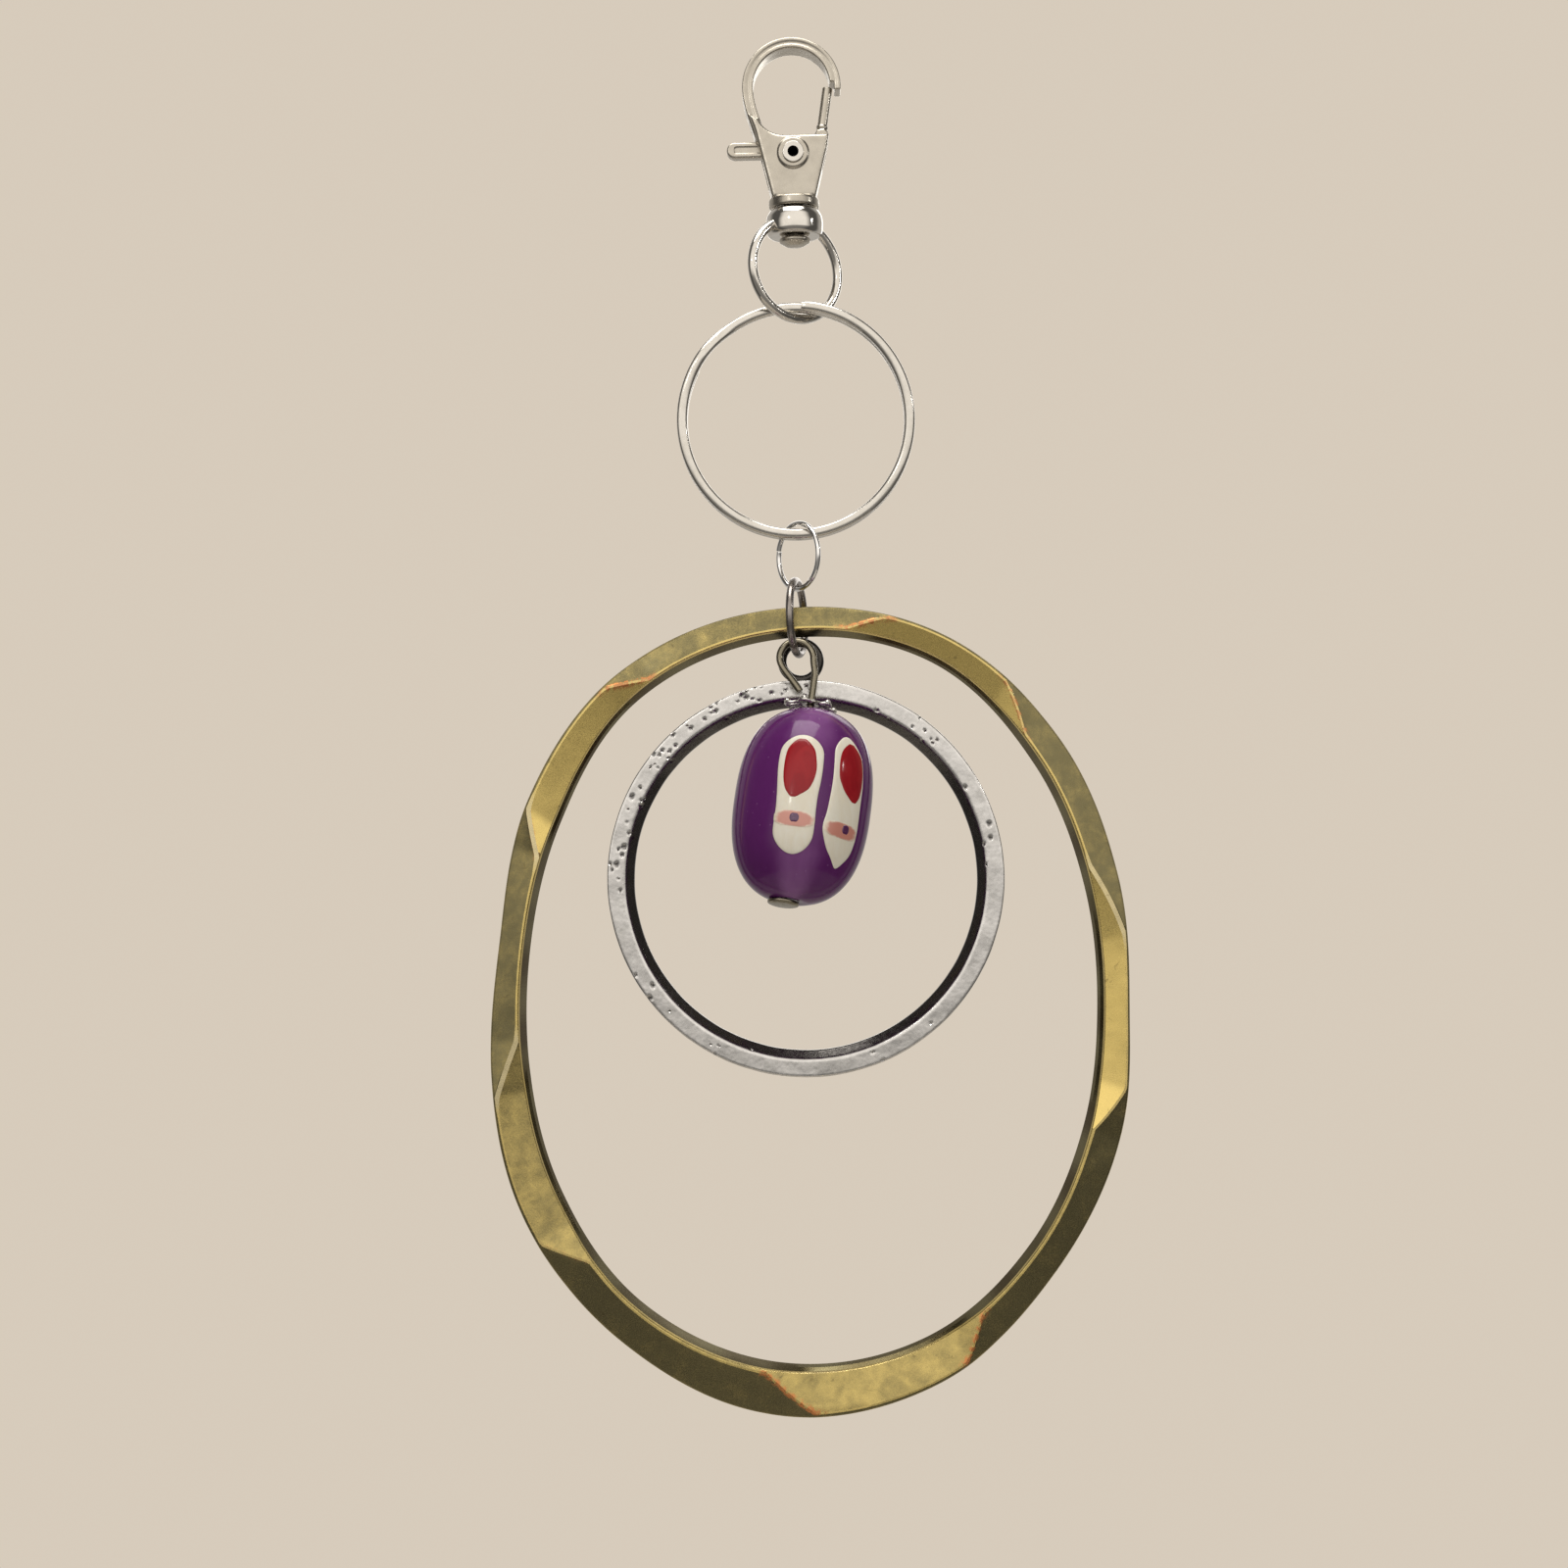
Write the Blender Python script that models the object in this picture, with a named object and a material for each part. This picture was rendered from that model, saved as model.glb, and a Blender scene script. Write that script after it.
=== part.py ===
"""Bag charm: swivel clasp, split ring, two jump rings, brass hoop, silver ring and a glass bead.

Every size below is in millimetres and UNIT turns it into metres.  +Z is up, +X is to the right
seen from the front, and the front looks towards -Y.  The origin is the top of the inside of the
hook, where the charm hangs on its peg.  Each link hangs on the one above it, so the places are
worked out from the top down.
"""
import math

import bmesh
import bpy
from mathutils import Matrix, Vector

UNIT = 0.001

# Fits
LINK_GAP = 0.12          # between two wires that hang on each other
RUNNING_GAP = 0.08       # around a rivet, a shank or a pin
SLOT_GAP = 0.15          # each side of the lever in its slot
SEAT_GAP = 0.20          # between faces that turn on each other

# Hook and housing of the clasp
HOOK_INNER_R = 4.7
HOOK_BAND = 1.35         # width of the band seen from the front
HOOK_DEPTH = 3.2
NOSE_DROP = 0.45         # how far the nose reaches below the hook's centre
NOSE_LIP = 0.80          # what is left of the nose outside the gate's notch
HOUSING_TOP = 6.0        # all three are measured down from the hook's centre
PIVOT_DROP = 8.3
HOUSING_BOTTOM = 13.7
HOUSING_DEPTH = 4.4
HOUSING_TOP_RIGHT = 4.45
HOUSING_HALF_FOOT = 2.65
HOUSING_BEVEL = 0.35
SLOT_FLOOR = 12.2        # bottom of the slot, down from the hook's centre
PIVOT_BOSS_R = 1.9
PIVOT_BOSS_HEIGHT = 0.25
COLLAR_R = 3.1
COLLAR_HEIGHT = 1.2
SHANK_R = 1.2
PEEN_R = 1.9
PEEN_HEIGHT = 1.05

# Lever
LEVER_THICKNESS = 1.5
LEVER_HUB_R = 1.5
GATE_R = 0.62
TAB_HEIGHT = 1.95
TAB_REACH = 8.1          # from the pivot to the end of the thumb tab
TAB_RISE = 0.85          # the tab's centre line above the pivot

# Rivet and spring
RIVET_R = 1.0
RIVET_BORE_R = 0.68
RIVET_RIM_R = 1.30
RIVET_RIM_HEIGHT = 0.28
SPRING_COIL_R = 0.42
SPRING_WIRE_R = 0.11
SPRING_TURNS = 4
SPRING_X = -2.35

# Swivel loop
BOSS_R = 3.5
BOSS_HEIGHT = 3.2
LOOP_WIRE_R = 0.60
LOOP_HALF_WIDTH = 7.0    # outer half width of the oval, in its own plane
LOOP_HALF_HEIGHT = 6.65
LOOP_RISE = 1.45          # how far up the boss the top of the oval starts
LOOP_YAW = 35.0          # degrees, left side forward

# Split ring
SPLIT_OUTER_R = 14.6
SPLIT_WIRE = 1.30        # radial width of the wire
SPLIT_WIRE_DEPTH = 1.15
SPLIT_TURN_GAP = 0.10
SPLIT_CORNER = 0.15      # how far the wire's corners are rounded off
SPLIT_STEP_START = 304.0
SPLIT_STEP_END = 328.0
SPLIT_START = 4.0        # degrees clockwise from the top
SPLIT_TOP_Y = -0.55      # the top leans forward of the bottom, clear of the loop

# Jump rings
SMALL_OUTER_R = 4.35
SMALL_WIRE_R = 0.34
SMALL_YAW = -53.0        # right side forward
LARGE_OUTER_R = 5.0
LARGE_WIRE_R = 0.50
LARGE_YAW = 78.0         # left side forward
JUMP_SLIT = 1.6          # degrees of the butt joint in each jump ring

# Where the hanging pieces lie from left to right, and from front to back
LOOP_X = -0.3
SPLIT_X = -0.4
SMALL_X = -0.5
LARGE_X = -0.8
PIN_Y = -1.55
EYELET_Y = 1.55
HOOP_Y = 0.10

# Brass hoop: angle in degrees counterclockwise from the right, inner radius, width of the bar
HOOP_OUTLINE = [
    (-1.3, 34.8, 3.8),
    (22.7, 36.4, 4.3),
    (46.7, 40.4, 4.4),
    (70.7, 45.0, 3.6),
    (94.7, 45.6, 3.7),
    (118.7, 43.7, 4.1),
    (142.7, 38.8, 4.8),
    (166.7, 35.9, 3.8),
    (190.7, 36.0, 4.7),
    (214.7, 38.6, 5.6),
    (238.7, 42.2, 5.3),
    (262.7, 44.0, 6.3),
    (286.7, 43.0, 5.6),
    (310.7, 39.5, 4.5),
    (334.7, 36.2, 4.7),
]
# Ridges between facets: each pair is the first and last angle of one ridge as it crosses the
# bar.  The first ridge runs from the outer edge to the inner edge, the next one back, and so on.
HOOP_RIDGES = [
    (12.0, 26.2),
    (51.4, 58.5),
    (78.3, 83.9),
    (115.6, 121.9),
    (143.8, 150.3),
    (184.8, 194.6),
    (219.5, 227.0),
    (261.0, 268.6),
    (292.0, 297.4),
    (335.2, 344.0),
]
HOOP_DEPTH = 2.4
HOOP_FACET_DROP = 0.75   # how far a facet falls across the bar
HOOP_INNER_SLANT = 0.9
HOOP_OUTER_SLANT = 0.25
HOOP_X = 0.30
HOOP_STEP = 4.0          # degrees between sections

# Silver ring and its eyelet
RING_OUTER_R = 24.5
RING_WIDTH = 3.4
RING_DEPTH = 2.0
RING_CHAMFER = 1.2
EYELET_OUTER_R = 2.85
EYELET_WIRE_R = 0.55
EYELET_SINK = 0.45       # how deep the eyelet runs into the ring

# Head pin
PIN_WIRE_R = 0.425
PIN_LOOP_R = 2.07        # to the middle of the wire
PIN_LOOP_OFFSET = 2.50   # from the loop's centre to the pin's axis
PIN_HANG_OFFSET = 0.45   # from the loop's centre to the point it hangs on
PIN_LEAN = 9.0           # degrees, bottom to the left
PIN_PITCH = 14.0         # degrees, bottom forward
STEM_LENGTH = 6.75       # from the loop's centre to the bead
PIN_END_GAP = 1.55        # from the stem's middle to the middle of the loop's cut end
PIN_END_RISE = 2.6        # and how far above the bead that end is
HEAD_R = 1.90
HEAD_HEIGHT = 0.55

# Bead cap and bead
CAP_R = 3.3
CAP_HEIGHT = 1.5
CAP_SHEET = 0.35
CAP_PETALS = 6
BEAD_LENGTH = 23.7
BEAD_WIDTH = 16.2
BEAD_DEPTH = 15.4
BEAD_BORE_R = 0.75
BEAD_OFFSET = 0.7        # the hand-wound glass is this far off its bore, to the right
BEAD_FULLNESS = 2.5      # exponent of the barrel's outline
BEAD_END_CUT = 0.985     # where the outline stops short of a point
BEAD_SPIN = 20.0         # degrees that the picture on the bead is turned to the right

# Glass picture on the bead
INLAY_GAP = 0.06
INLAY_SHEET = 0.20

MATERIALS = {
    "satin_nickel": ((0.55, 0.53, 0.49), 0.32, 1.0),
    "spring_steel": ((0.45, 0.45, 0.46), 0.30, 1.0),
    "chrome": ((0.75, 0.74, 0.72), 0.12, 1.0),
    "split_steel": ((0.66, 0.64, 0.60), 0.20, 1.0),
    "bright_silver": ((0.82, 0.81, 0.79), 0.14, 1.0),
    "dark_steel": ((0.30, 0.28, 0.26), 0.30, 1.0),
    "antique_brass": ((0.48, 0.40, 0.20), 0.30, 1.0),
    "cast_silver": ((0.62, 0.61, 0.60), 0.26, 1.0),
    "pin_steel": ((0.60, 0.57, 0.52), 0.25, 1.0),
    "purple_glass": ((0.16, 0.03, 0.20), 0.08, 0.0),
    "white_glass": ((0.80, 0.76, 0.66), 0.12, 0.0),
    "red_glass": ((0.42, 0.02, 0.03), 0.10, 0.0),
    "pink_glass": ((0.75, 0.42, 0.38), 0.12, 0.0),
    "violet_glass": ((0.22, 0.08, 0.30), 0.12, 0.0),
}

# Heights that follow from the sizes above
HOOK_Z = -HOOK_INNER_R
HOOK_OUTER_R = HOOK_INNER_R + HOOK_BAND
PIVOT = Vector((0.0, 0.0, HOOK_Z - PIVOT_DROP))
HOUSING_FOOT_Z = HOOK_Z - HOUSING_BOTTOM
COLLAR_BOTTOM_Z = HOUSING_FOOT_Z - COLLAR_HEIGHT + SEAT_GAP
BOSS_TOP_Z = COLLAR_BOTTOM_Z - SEAT_GAP
BOSS_BOTTOM_Z = BOSS_TOP_Z - BOSS_HEIGHT
LOOP_Z = BOSS_BOTTOM_Z + 2.0 * LOOP_WIRE_R + LOOP_RISE - LOOP_HALF_HEIGHT
LOOP_SEAT_Z = LOOP_Z - LOOP_HALF_HEIGHT + 2.0 * LOOP_WIRE_R
SPLIT_INNER_R = SPLIT_OUTER_R - SPLIT_WIRE
SPLIT_Z = LOOP_SEAT_Z + LINK_GAP - SPLIT_INNER_R
SPLIT_SEAT_Z = SPLIT_Z - SPLIT_INNER_R
SMALL_MID_R = SMALL_OUTER_R - SMALL_WIRE_R
SMALL_BORE_R = SMALL_OUTER_R - 2.0 * SMALL_WIRE_R
SPLIT_REACH = SPLIT_WIRE_DEPTH + 0.5 * SPLIT_TURN_GAP - SPLIT_CORNER
SPLIT_ACROSS = SPLIT_REACH / math.sin(math.radians(abs(SMALL_YAW)))
SMALL_Z = SPLIT_SEAT_Z + LINK_GAP - math.sqrt(SMALL_BORE_R ** 2 - SPLIT_ACROSS ** 2)
SMALL_SEAT_Z = SMALL_Z - SMALL_OUTER_R + 2.0 * SMALL_WIRE_R
LARGE_MID_R = LARGE_OUTER_R - LARGE_WIRE_R
LARGE_BORE_R = LARGE_OUTER_R - 2.0 * LARGE_WIRE_R
LARGE_Z = SMALL_SEAT_Z + LINK_GAP + 2.0 * LARGE_WIRE_R - LARGE_OUTER_R


def large_ring_x(y):
    """Where the large jump ring's plane crosses a plane of constant y."""
    return LARGE_X + y / math.tan(math.radians(LARGE_YAW))


def hang_height(y, wire_r):
    """Height of a wire's centre that rests in the large ring's bore at depth y."""
    reach = LARGE_BORE_R - wire_r - LINK_GAP
    across = y / math.sin(math.radians(LARGE_YAW))
    return LARGE_Z - math.sqrt(reach * reach - across * across)


EYELET_WIRE_Z = hang_height(EYELET_Y, EYELET_WIRE_R)
EYELET_MID_R = EYELET_OUTER_R - EYELET_WIRE_R
EYELET_Z = EYELET_WIRE_Z - EYELET_MID_R
EYELET_X = large_ring_x(EYELET_Y)
RING_Z = EYELET_Z - EYELET_OUTER_R + EYELET_SINK - RING_OUTER_R
PIN_WIRE_Z = hang_height(PIN_Y, PIN_WIRE_R)
PIN_HANG = Vector((large_ring_x(PIN_Y), PIN_Y, PIN_WIRE_Z))


def clear_scene():
    for obj in list(bpy.data.objects):
        bpy.data.objects.remove(obj, do_unlink=True)


def make_material(name):
    colour, roughness, metallic = MATERIALS[name]
    material = bpy.data.materials.new(name)
    material.use_nodes = True
    shader = material.node_tree.nodes["Principled BSDF"]
    shader.inputs["Base Color"].default_value = (*colour, 1.0)
    shader.inputs["Roughness"].default_value = roughness
    shader.inputs["Metallic"].default_value = metallic
    material.diffuse_color = (*colour, 1.0)
    return material


def add_empty(name, place, parent=None):
    """An empty on a joint's axis, which carries the pieces that turn there."""
    empty = bpy.data.objects.new(name, None)
    bpy.context.collection.objects.link(empty)
    empty.location = place * UNIT
    if parent is not None:
        empty.parent = parent
        empty.location = (place - Vector(parent["place"])) * UNIT
    empty["place"] = tuple(place)
    return empty


def add_object(name, bm, material, parent=None, smooth=40.0):
    """Turn a bmesh in millimetres into an object whose origin is its parent's."""
    place = Vector(parent["place"]) if parent is not None else Vector((0.0, 0.0, 0.0))
    bmesh.ops.recalc_face_normals(bm, faces=bm.faces)
    bm.transform(Matrix.Scale(UNIT, 4) @ Matrix.Translation(-place))
    mesh = bpy.data.meshes.new(name)
    bm.to_mesh(mesh)
    bm.free()
    obj = bpy.data.objects.new(name, mesh)
    bpy.context.collection.objects.link(obj)
    if parent is not None:
        obj.parent = parent
    if material is not None:
        mesh.materials.append(material)
    mesh.shade_smooth()
    mesh.set_sharp_from_angle(angle=math.radians(smooth))
    return obj


def add_helper(name, bm):
    """A hidden solid that a Boolean joins to a piece or cuts from it."""
    obj = add_object(name, bm, None)
    obj.hide_render = True
    obj.display_type = 'WIRE'
    return obj


def add_boolean(obj, helper, operation):
    modifier = obj.modifiers.new(helper.name, 'BOOLEAN')
    modifier.operation = operation
    modifier.solver = 'EXACT'
    modifier.object = helper


def loft(sections, closed):
    """Skin through equal loops of points; an open loft gets flat ends."""
    bm = bmesh.new()
    loops = [[bm.verts.new(point) for point in section] for section in sections]
    count = len(loops[0])
    pairs = list(zip(loops, loops[1:]))
    if closed:
        pairs.append((loops[-1], loops[0]))
    for first, second in pairs:
        for i in range(count):
            j = (i + 1) % count
            bm.faces.new((first[i], first[j], second[j], second[i]))
    if not closed:
        bm.faces.new(loops[0])
        bm.faces.new(reversed(loops[-1]))
    return bm


def round_section(radius, sides):
    """Corners of a round wire's section, on the circle."""
    return [(radius * math.cos(2.0 * math.pi * i / sides),
             radius * math.sin(2.0 * math.pi * i / sides)) for i in range(sides)]


def tube(points, radius, sides, closed=False, side=Vector((0.0, 1.0, 0.0))):
    """A round wire along points; side is a direction that the path never runs along."""
    section = round_section(radius, sides)
    sections = []
    last = len(points) - 1
    for i, point in enumerate(points):
        if closed:
            ahead = points[(i + 1) % len(points)] - points[i - 1]
        else:
            ahead = points[min(i + 1, last)] - points[max(i - 1, 0)]
        ahead.normalize()
        across = ahead.cross(side).normalized()
        up = across.cross(ahead)
        sections.append([point + across * a + up * b for a, b in section])
    return loft(sections, closed)


def lathe(profile, segments, place=Vector((0.0, 0.0, 0.0)), axis='Z'):
    """Turn a closed profile of (radius, height) points that stays clear of the axis."""
    sections = []
    for i in range(segments):
        angle = 2.0 * math.pi * i / segments
        cos_a = math.cos(angle)
        sin_a = math.sin(angle)
        if axis == 'Z':
            section = [place + Vector((r * cos_a, r * sin_a, h)) for r, h in profile]
        else:
            section = [place + Vector((r * cos_a, h, r * sin_a)) for r, h in profile]
        sections.append(section)
    return loft(sections, True)


def cylinder(radius, low, high, segments, place=Vector((0.0, 0.0, 0.0)), axis='Z'):
    """A plain cylinder between two heights on its axis."""
    sections = []
    for height in (low, high):
        section = []
        for i in range(segments):
            angle = 2.0 * math.pi * i / segments
            a = radius * math.cos(angle)
            b = radius * math.sin(angle)
            offset = Vector((a, b, height)) if axis == 'Z' else Vector((a, height, b))
            section.append(place + offset)
        sections.append(section)
    return loft(sections, False)


def prism(outline, half_depth, bevel=0.0):
    """Extrude an outline of (x, z) points to both sides of y = 0, with bevelled rims."""
    bm = loft([[Vector((x, y, z)) for x, z in outline] for y in (-half_depth, half_depth)], False)
    if bevel > 0.0:
        bmesh.ops.recalc_face_normals(bm, faces=bm.faces)
        rims = [edge for edge in bm.edges if abs(edge.verts[0].co.y - edge.verts[1].co.y) < 1e-6]
        bmesh.ops.bevel(bm, geom=rims, offset=bevel, segments=2, profile=0.5, affect='EDGES')
    return bm


def arc(centre_x, centre_z, radius, start, end, count):
    """Points on an arc in the XZ plane, angles in degrees counterclockwise from +X."""
    points = []
    for i in range(count + 1):
        angle = math.radians(start + (end - start) * i / count)
        points.append((centre_x + radius * math.cos(angle), centre_z + radius * math.sin(angle)))
    return points


def bezier(a, b, c, d, count):
    """Points on a cubic curve, without its first point."""
    points = []
    for i in range(1, count + 1):
        t = i / count
        s = 1.0 - t
        points.append(a * s ** 3 + b * (3.0 * s * s * t) + c * (3.0 * s * t * t) + d * t ** 3)
    return points


def smoothstep(t):
    t = max(0.0, min(1.0, t))
    return t * t * (3.0 - 2.0 * t)


# --- clasp ---------------------------------------------------------------------------------

def hook_band():
    """The bent band, from inside the housing up over the peg to the nose."""
    mid_r = HOOK_INNER_R + 0.5 * HOOK_BAND
    foot = Vector((-HOUSING_HALF_FOOT - 1.15, 0.0, HOOK_Z - HOUSING_TOP - 0.6))
    shoulder = Vector((-mid_r, 0.0, HOOK_Z))
    points = [foot]
    points += bezier(foot, foot + Vector((-0.55, 0.0, 2.2)), shoulder - Vector((0.0, 0.0, 2.4)),
                     shoulder, 6)
    nose_angle = -math.degrees(math.asin(NOSE_DROP / mid_r))
    points += [Vector((x, 0.0, z)) for x, z in arc(0.0, HOOK_Z, mid_r, 180.0, nose_angle, 22)[1:]]
    half_w = 0.5 * HOOK_BAND
    half_d = 0.5 * HOOK_DEPTH
    rim = 0.42
    section = [(-half_w, -half_d + rim), (-half_w + rim, -half_d), (half_w - rim, -half_d),
               (half_w, -half_d + rim), (half_w, half_d - rim), (half_w - rim, half_d),
               (-half_w + rim, half_d), (-half_w, half_d - rim)]
    sections = []
    for i, point in enumerate(points):
        ahead = points[min(i + 1, len(points) - 1)] - points[max(i - 1, 0)]
        ahead.normalize()
        across = Vector((ahead.z, 0.0, -ahead.x))
        sections.append([point + across * a + Vector((0.0, b, 0.0)) for a, b in section])
    return loft(sections, False)


def housing_outline():
    """Front outline of the two cheeks, with the round left corner of the peg's opening."""
    top = HOOK_Z - HOUSING_TOP
    foot = HOUSING_FOOT_Z
    left_x = -HOUSING_HALF_FOOT - 2.0
    inner = arc(-1.05, top + 3.4, 3.4, 205.0, 270.0, 6)
    left = [(-HOUSING_HALF_FOOT, foot), (-HOUSING_HALF_FOOT - 0.85, foot + 3.6),
            (left_x + 0.05, top + 0.5), (left_x - 0.65, top + 2.6)]
    right = [(HOUSING_TOP_RIGHT, top), (HOUSING_TOP_RIGHT - 0.35, top - 1.9),
             (HOUSING_HALF_FOOT, foot)]
    return left + inner + right


def slot_outline():
    """The slot between the cheeks: open above on the right and at the left for the tab."""
    ceiling = PIVOT.z + TAB_RISE + 0.5 * TAB_HEIGHT + SEAT_GAP
    floor = HOOK_Z - SLOT_FLOOR
    above = HOOK_Z - HOUSING_TOP + 1.2
    return [(-9.0, floor), (HOUSING_HALF_FOOT - 0.7, floor), (HOUSING_HALF_FOOT - 0.7, floor + 1.9),
            (9.0, PIVOT.z - 0.4), (9.0, above), (-0.6, above), (-0.6, ceiling), (-9.0, ceiling)]


def build_clasp_body(material, parent):
    half_depth = 0.5 * HOUSING_DEPTH
    body = add_object("clasp_body", prism(housing_outline(), half_depth, HOUSING_BEVEL), material,
                      parent)
    add_boolean(body, add_helper("join_hook", hook_band()), 'UNION')
    boss = cylinder(PIVOT_BOSS_R, -half_depth - PIVOT_BOSS_HEIGHT, half_depth + PIVOT_BOSS_HEIGHT,
                    28, PIVOT, 'Y')
    add_boolean(body, add_helper("join_boss", boss), 'UNION')
    top_z = HOUSING_FOOT_Z + SEAT_GAP
    peen_top = BOSS_BOTTOM_Z - SEAT_GAP
    shank = [(0.2, top_z), (COLLAR_R - 0.25, top_z), (COLLAR_R, top_z - 0.3),
             (COLLAR_R, COLLAR_BOTTOM_Z + 0.25), (COLLAR_R - 0.3, COLLAR_BOTTOM_Z),
             (SHANK_R, COLLAR_BOTTOM_Z), (SHANK_R, peen_top), (PEEN_R, peen_top),
             (PEEN_R, peen_top - 0.45 * PEEN_HEIGHT), (0.6 * PEEN_R, peen_top - 0.9 * PEEN_HEIGHT),
             (0.2, peen_top - PEEN_HEIGHT)]
    sections = []
    for radius, height in shank:
        ring = [Vector((x, y, height)) for x, y in round_section(radius, 28)]
        sections.append(ring)
    add_boolean(body, add_helper("join_shank", loft(sections, False)), 'UNION')
    slot = prism(slot_outline(), 0.5 * LEVER_THICKNESS + SLOT_GAP)
    add_boolean(body, add_helper("cut_slot", slot), 'DIFFERENCE')
    hole = cylinder(RIVET_R + RUNNING_GAP, -HOUSING_DEPTH, HOUSING_DEPTH, 28, PIVOT, 'Y')
    add_boolean(body, add_helper("cut_rivet_hole", hole), 'DIFFERENCE')
    notch_x = HOOK_OUTER_R - NOSE_LIP
    notch = [(notch_x - 4.0, HOOK_Z - 3.0), (notch_x, HOOK_Z - 3.0),
             (notch_x, HOOK_Z + 0.5), (notch_x - 4.0, HOOK_Z + 0.5)]
    add_boolean(body, add_helper("cut_notch", prism(notch, HOOK_DEPTH)), 'DIFFERENCE')


def lever_outline():
    """Hub, knuckle and thumb tab of the lever, around the pivot."""
    tab_low = TAB_RISE - 0.5 * TAB_HEIGHT
    tab_high = TAB_RISE + 0.5 * TAB_HEIGHT
    tip = arc(-TAB_REACH + 0.5 * TAB_HEIGHT, TAB_RISE, 0.5 * TAB_HEIGHT, 90.0, 270.0, 8)
    hub = arc(0.0, 0.0, LEVER_HUB_R, 215.0, 330.0, 7)
    knuckle = [(3.15, 0.7), (4.3, 1.7), (4.38, 2.9), (3.9, 3.35), (3.0, 3.2), (2.4, 2.0),
               (1.2, tab_high - 0.15)]
    points = tip + [(-LEVER_HUB_R - 0.1, tab_low)] + hub + knuckle
    points.append((0.0, tab_high))
    return [(PIVOT.x + x, PIVOT.z + z) for x, z in points]


def build_lever(material, parent):
    lever = add_object("clasp_lever", prism(lever_outline(), 0.5 * LEVER_THICKNESS, 0.2), material,
                       parent)
    foot = PIVOT + Vector((3.55, 0.0, 2.75))
    notch_ceiling = HOOK_Z + 0.5
    tip = Vector((HOOK_OUTER_R - NOSE_LIP - GATE_R - SEAT_GAP, 0.0, notch_ceiling - 2.0 * SEAT_GAP))
    gate = tube([foot, foot.lerp(tip, 0.5), tip], GATE_R, 12)
    add_boolean(lever, add_helper("join_gate", gate), 'UNION')
    hole = cylinder(RIVET_R + RUNNING_GAP, -HOUSING_DEPTH, HOUSING_DEPTH, 24, PIVOT, 'Y')
    add_boolean(lever, add_helper("cut_lever_hole", hole), 'DIFFERENCE')


def build_rivet(material, parent):
    """A tube rivet with both ends rolled over the bosses."""
    face = 0.5 * HOUSING_DEPTH + PIVOT_BOSS_HEIGHT + RUNNING_GAP
    top = face + RIVET_RIM_HEIGHT
    profile = [(RIVET_BORE_R, -top + 0.1), (RIVET_BORE_R + 0.14, -top), (RIVET_RIM_R - 0.14, -top),
               (RIVET_RIM_R, -top + 0.14), (RIVET_RIM_R, -face), (RIVET_R, -face), (RIVET_R, face),
               (RIVET_RIM_R, face), (RIVET_RIM_R, top - 0.14), (RIVET_RIM_R - 0.14, top),
               (RIVET_BORE_R + 0.14, top), (RIVET_BORE_R, top - 0.1)]
    add_object("lever_rivet", lathe(profile, 22, PIVOT, 'Y'), material, parent)


def build_spring(material, parent):
    """Small coil spring between the slot's floor and the underside of the tab."""
    low = HOOK_Z - SLOT_FLOOR + SPRING_WIRE_R + RUNNING_GAP
    high = PIVOT.z + TAB_RISE - 0.5 * TAB_HEIGHT - SPRING_WIRE_R - RUNNING_GAP
    steps = 8 * SPRING_TURNS
    points = []
    for i in range(steps + 1):
        angle = 2.0 * math.pi * i / 8
        points.append(Vector((SPRING_X + SPRING_COIL_R * math.cos(angle),
                              SPRING_COIL_R * math.sin(angle), low + (high - low) * i / steps)))
    wire = tube(points, SPRING_WIRE_R, 5, side=Vector((0.0, 0.0, 1.0)))
    add_object("lever_spring", wire, material, parent)


def build_swivel_loop(material, parent):
    """Turned boss and oval loop, cast in one piece, bored for the clasp's shank."""
    half = 0.5 * BOSS_HEIGHT
    mid = BOSS_TOP_Z - half
    profile = [(BOSS_R - 1.0, half), (BOSS_R - 0.45, half - 0.15), (BOSS_R - 0.1, half - 0.8),
               (BOSS_R, 0.0), (BOSS_R - 0.1, -half + 0.5), (BOSS_R - 0.4, -half)]
    sections = []
    for radius, height in profile:
        sections.append([Vector((x, y, mid + height)) for x, y in round_section(radius, 32)])
    loop = add_object("swivel_loop", loft(sections, False), material, parent)
    yaw = math.radians(LOOP_YAW)
    points = []
    for i in range(36):
        angle = 2.0 * math.pi * (i + 0.5) / 36
        across = (LOOP_HALF_WIDTH - LOOP_WIRE_R) * math.cos(angle)
        up = (LOOP_HALF_HEIGHT - LOOP_WIRE_R) * math.sin(angle)
        points.append(Vector((across * math.cos(yaw), across * math.sin(yaw), LOOP_Z + up)))
    plane_normal = Vector((-math.sin(yaw), math.cos(yaw), 0.0))
    oval = tube(points, LOOP_WIRE_R, 8, closed=True, side=plane_normal)
    add_boolean(loop, add_helper("join_loop", oval), 'UNION')
    bore = cylinder(SHANK_R + RUNNING_GAP, BOSS_BOTTOM_Z - 0.9, BOSS_TOP_Z + 1.0, 28)
    add_boolean(loop, add_helper("cut_shank_bore", bore), 'DIFFERENCE')


# --- rings ---------------------------------------------------------------------------------

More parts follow.
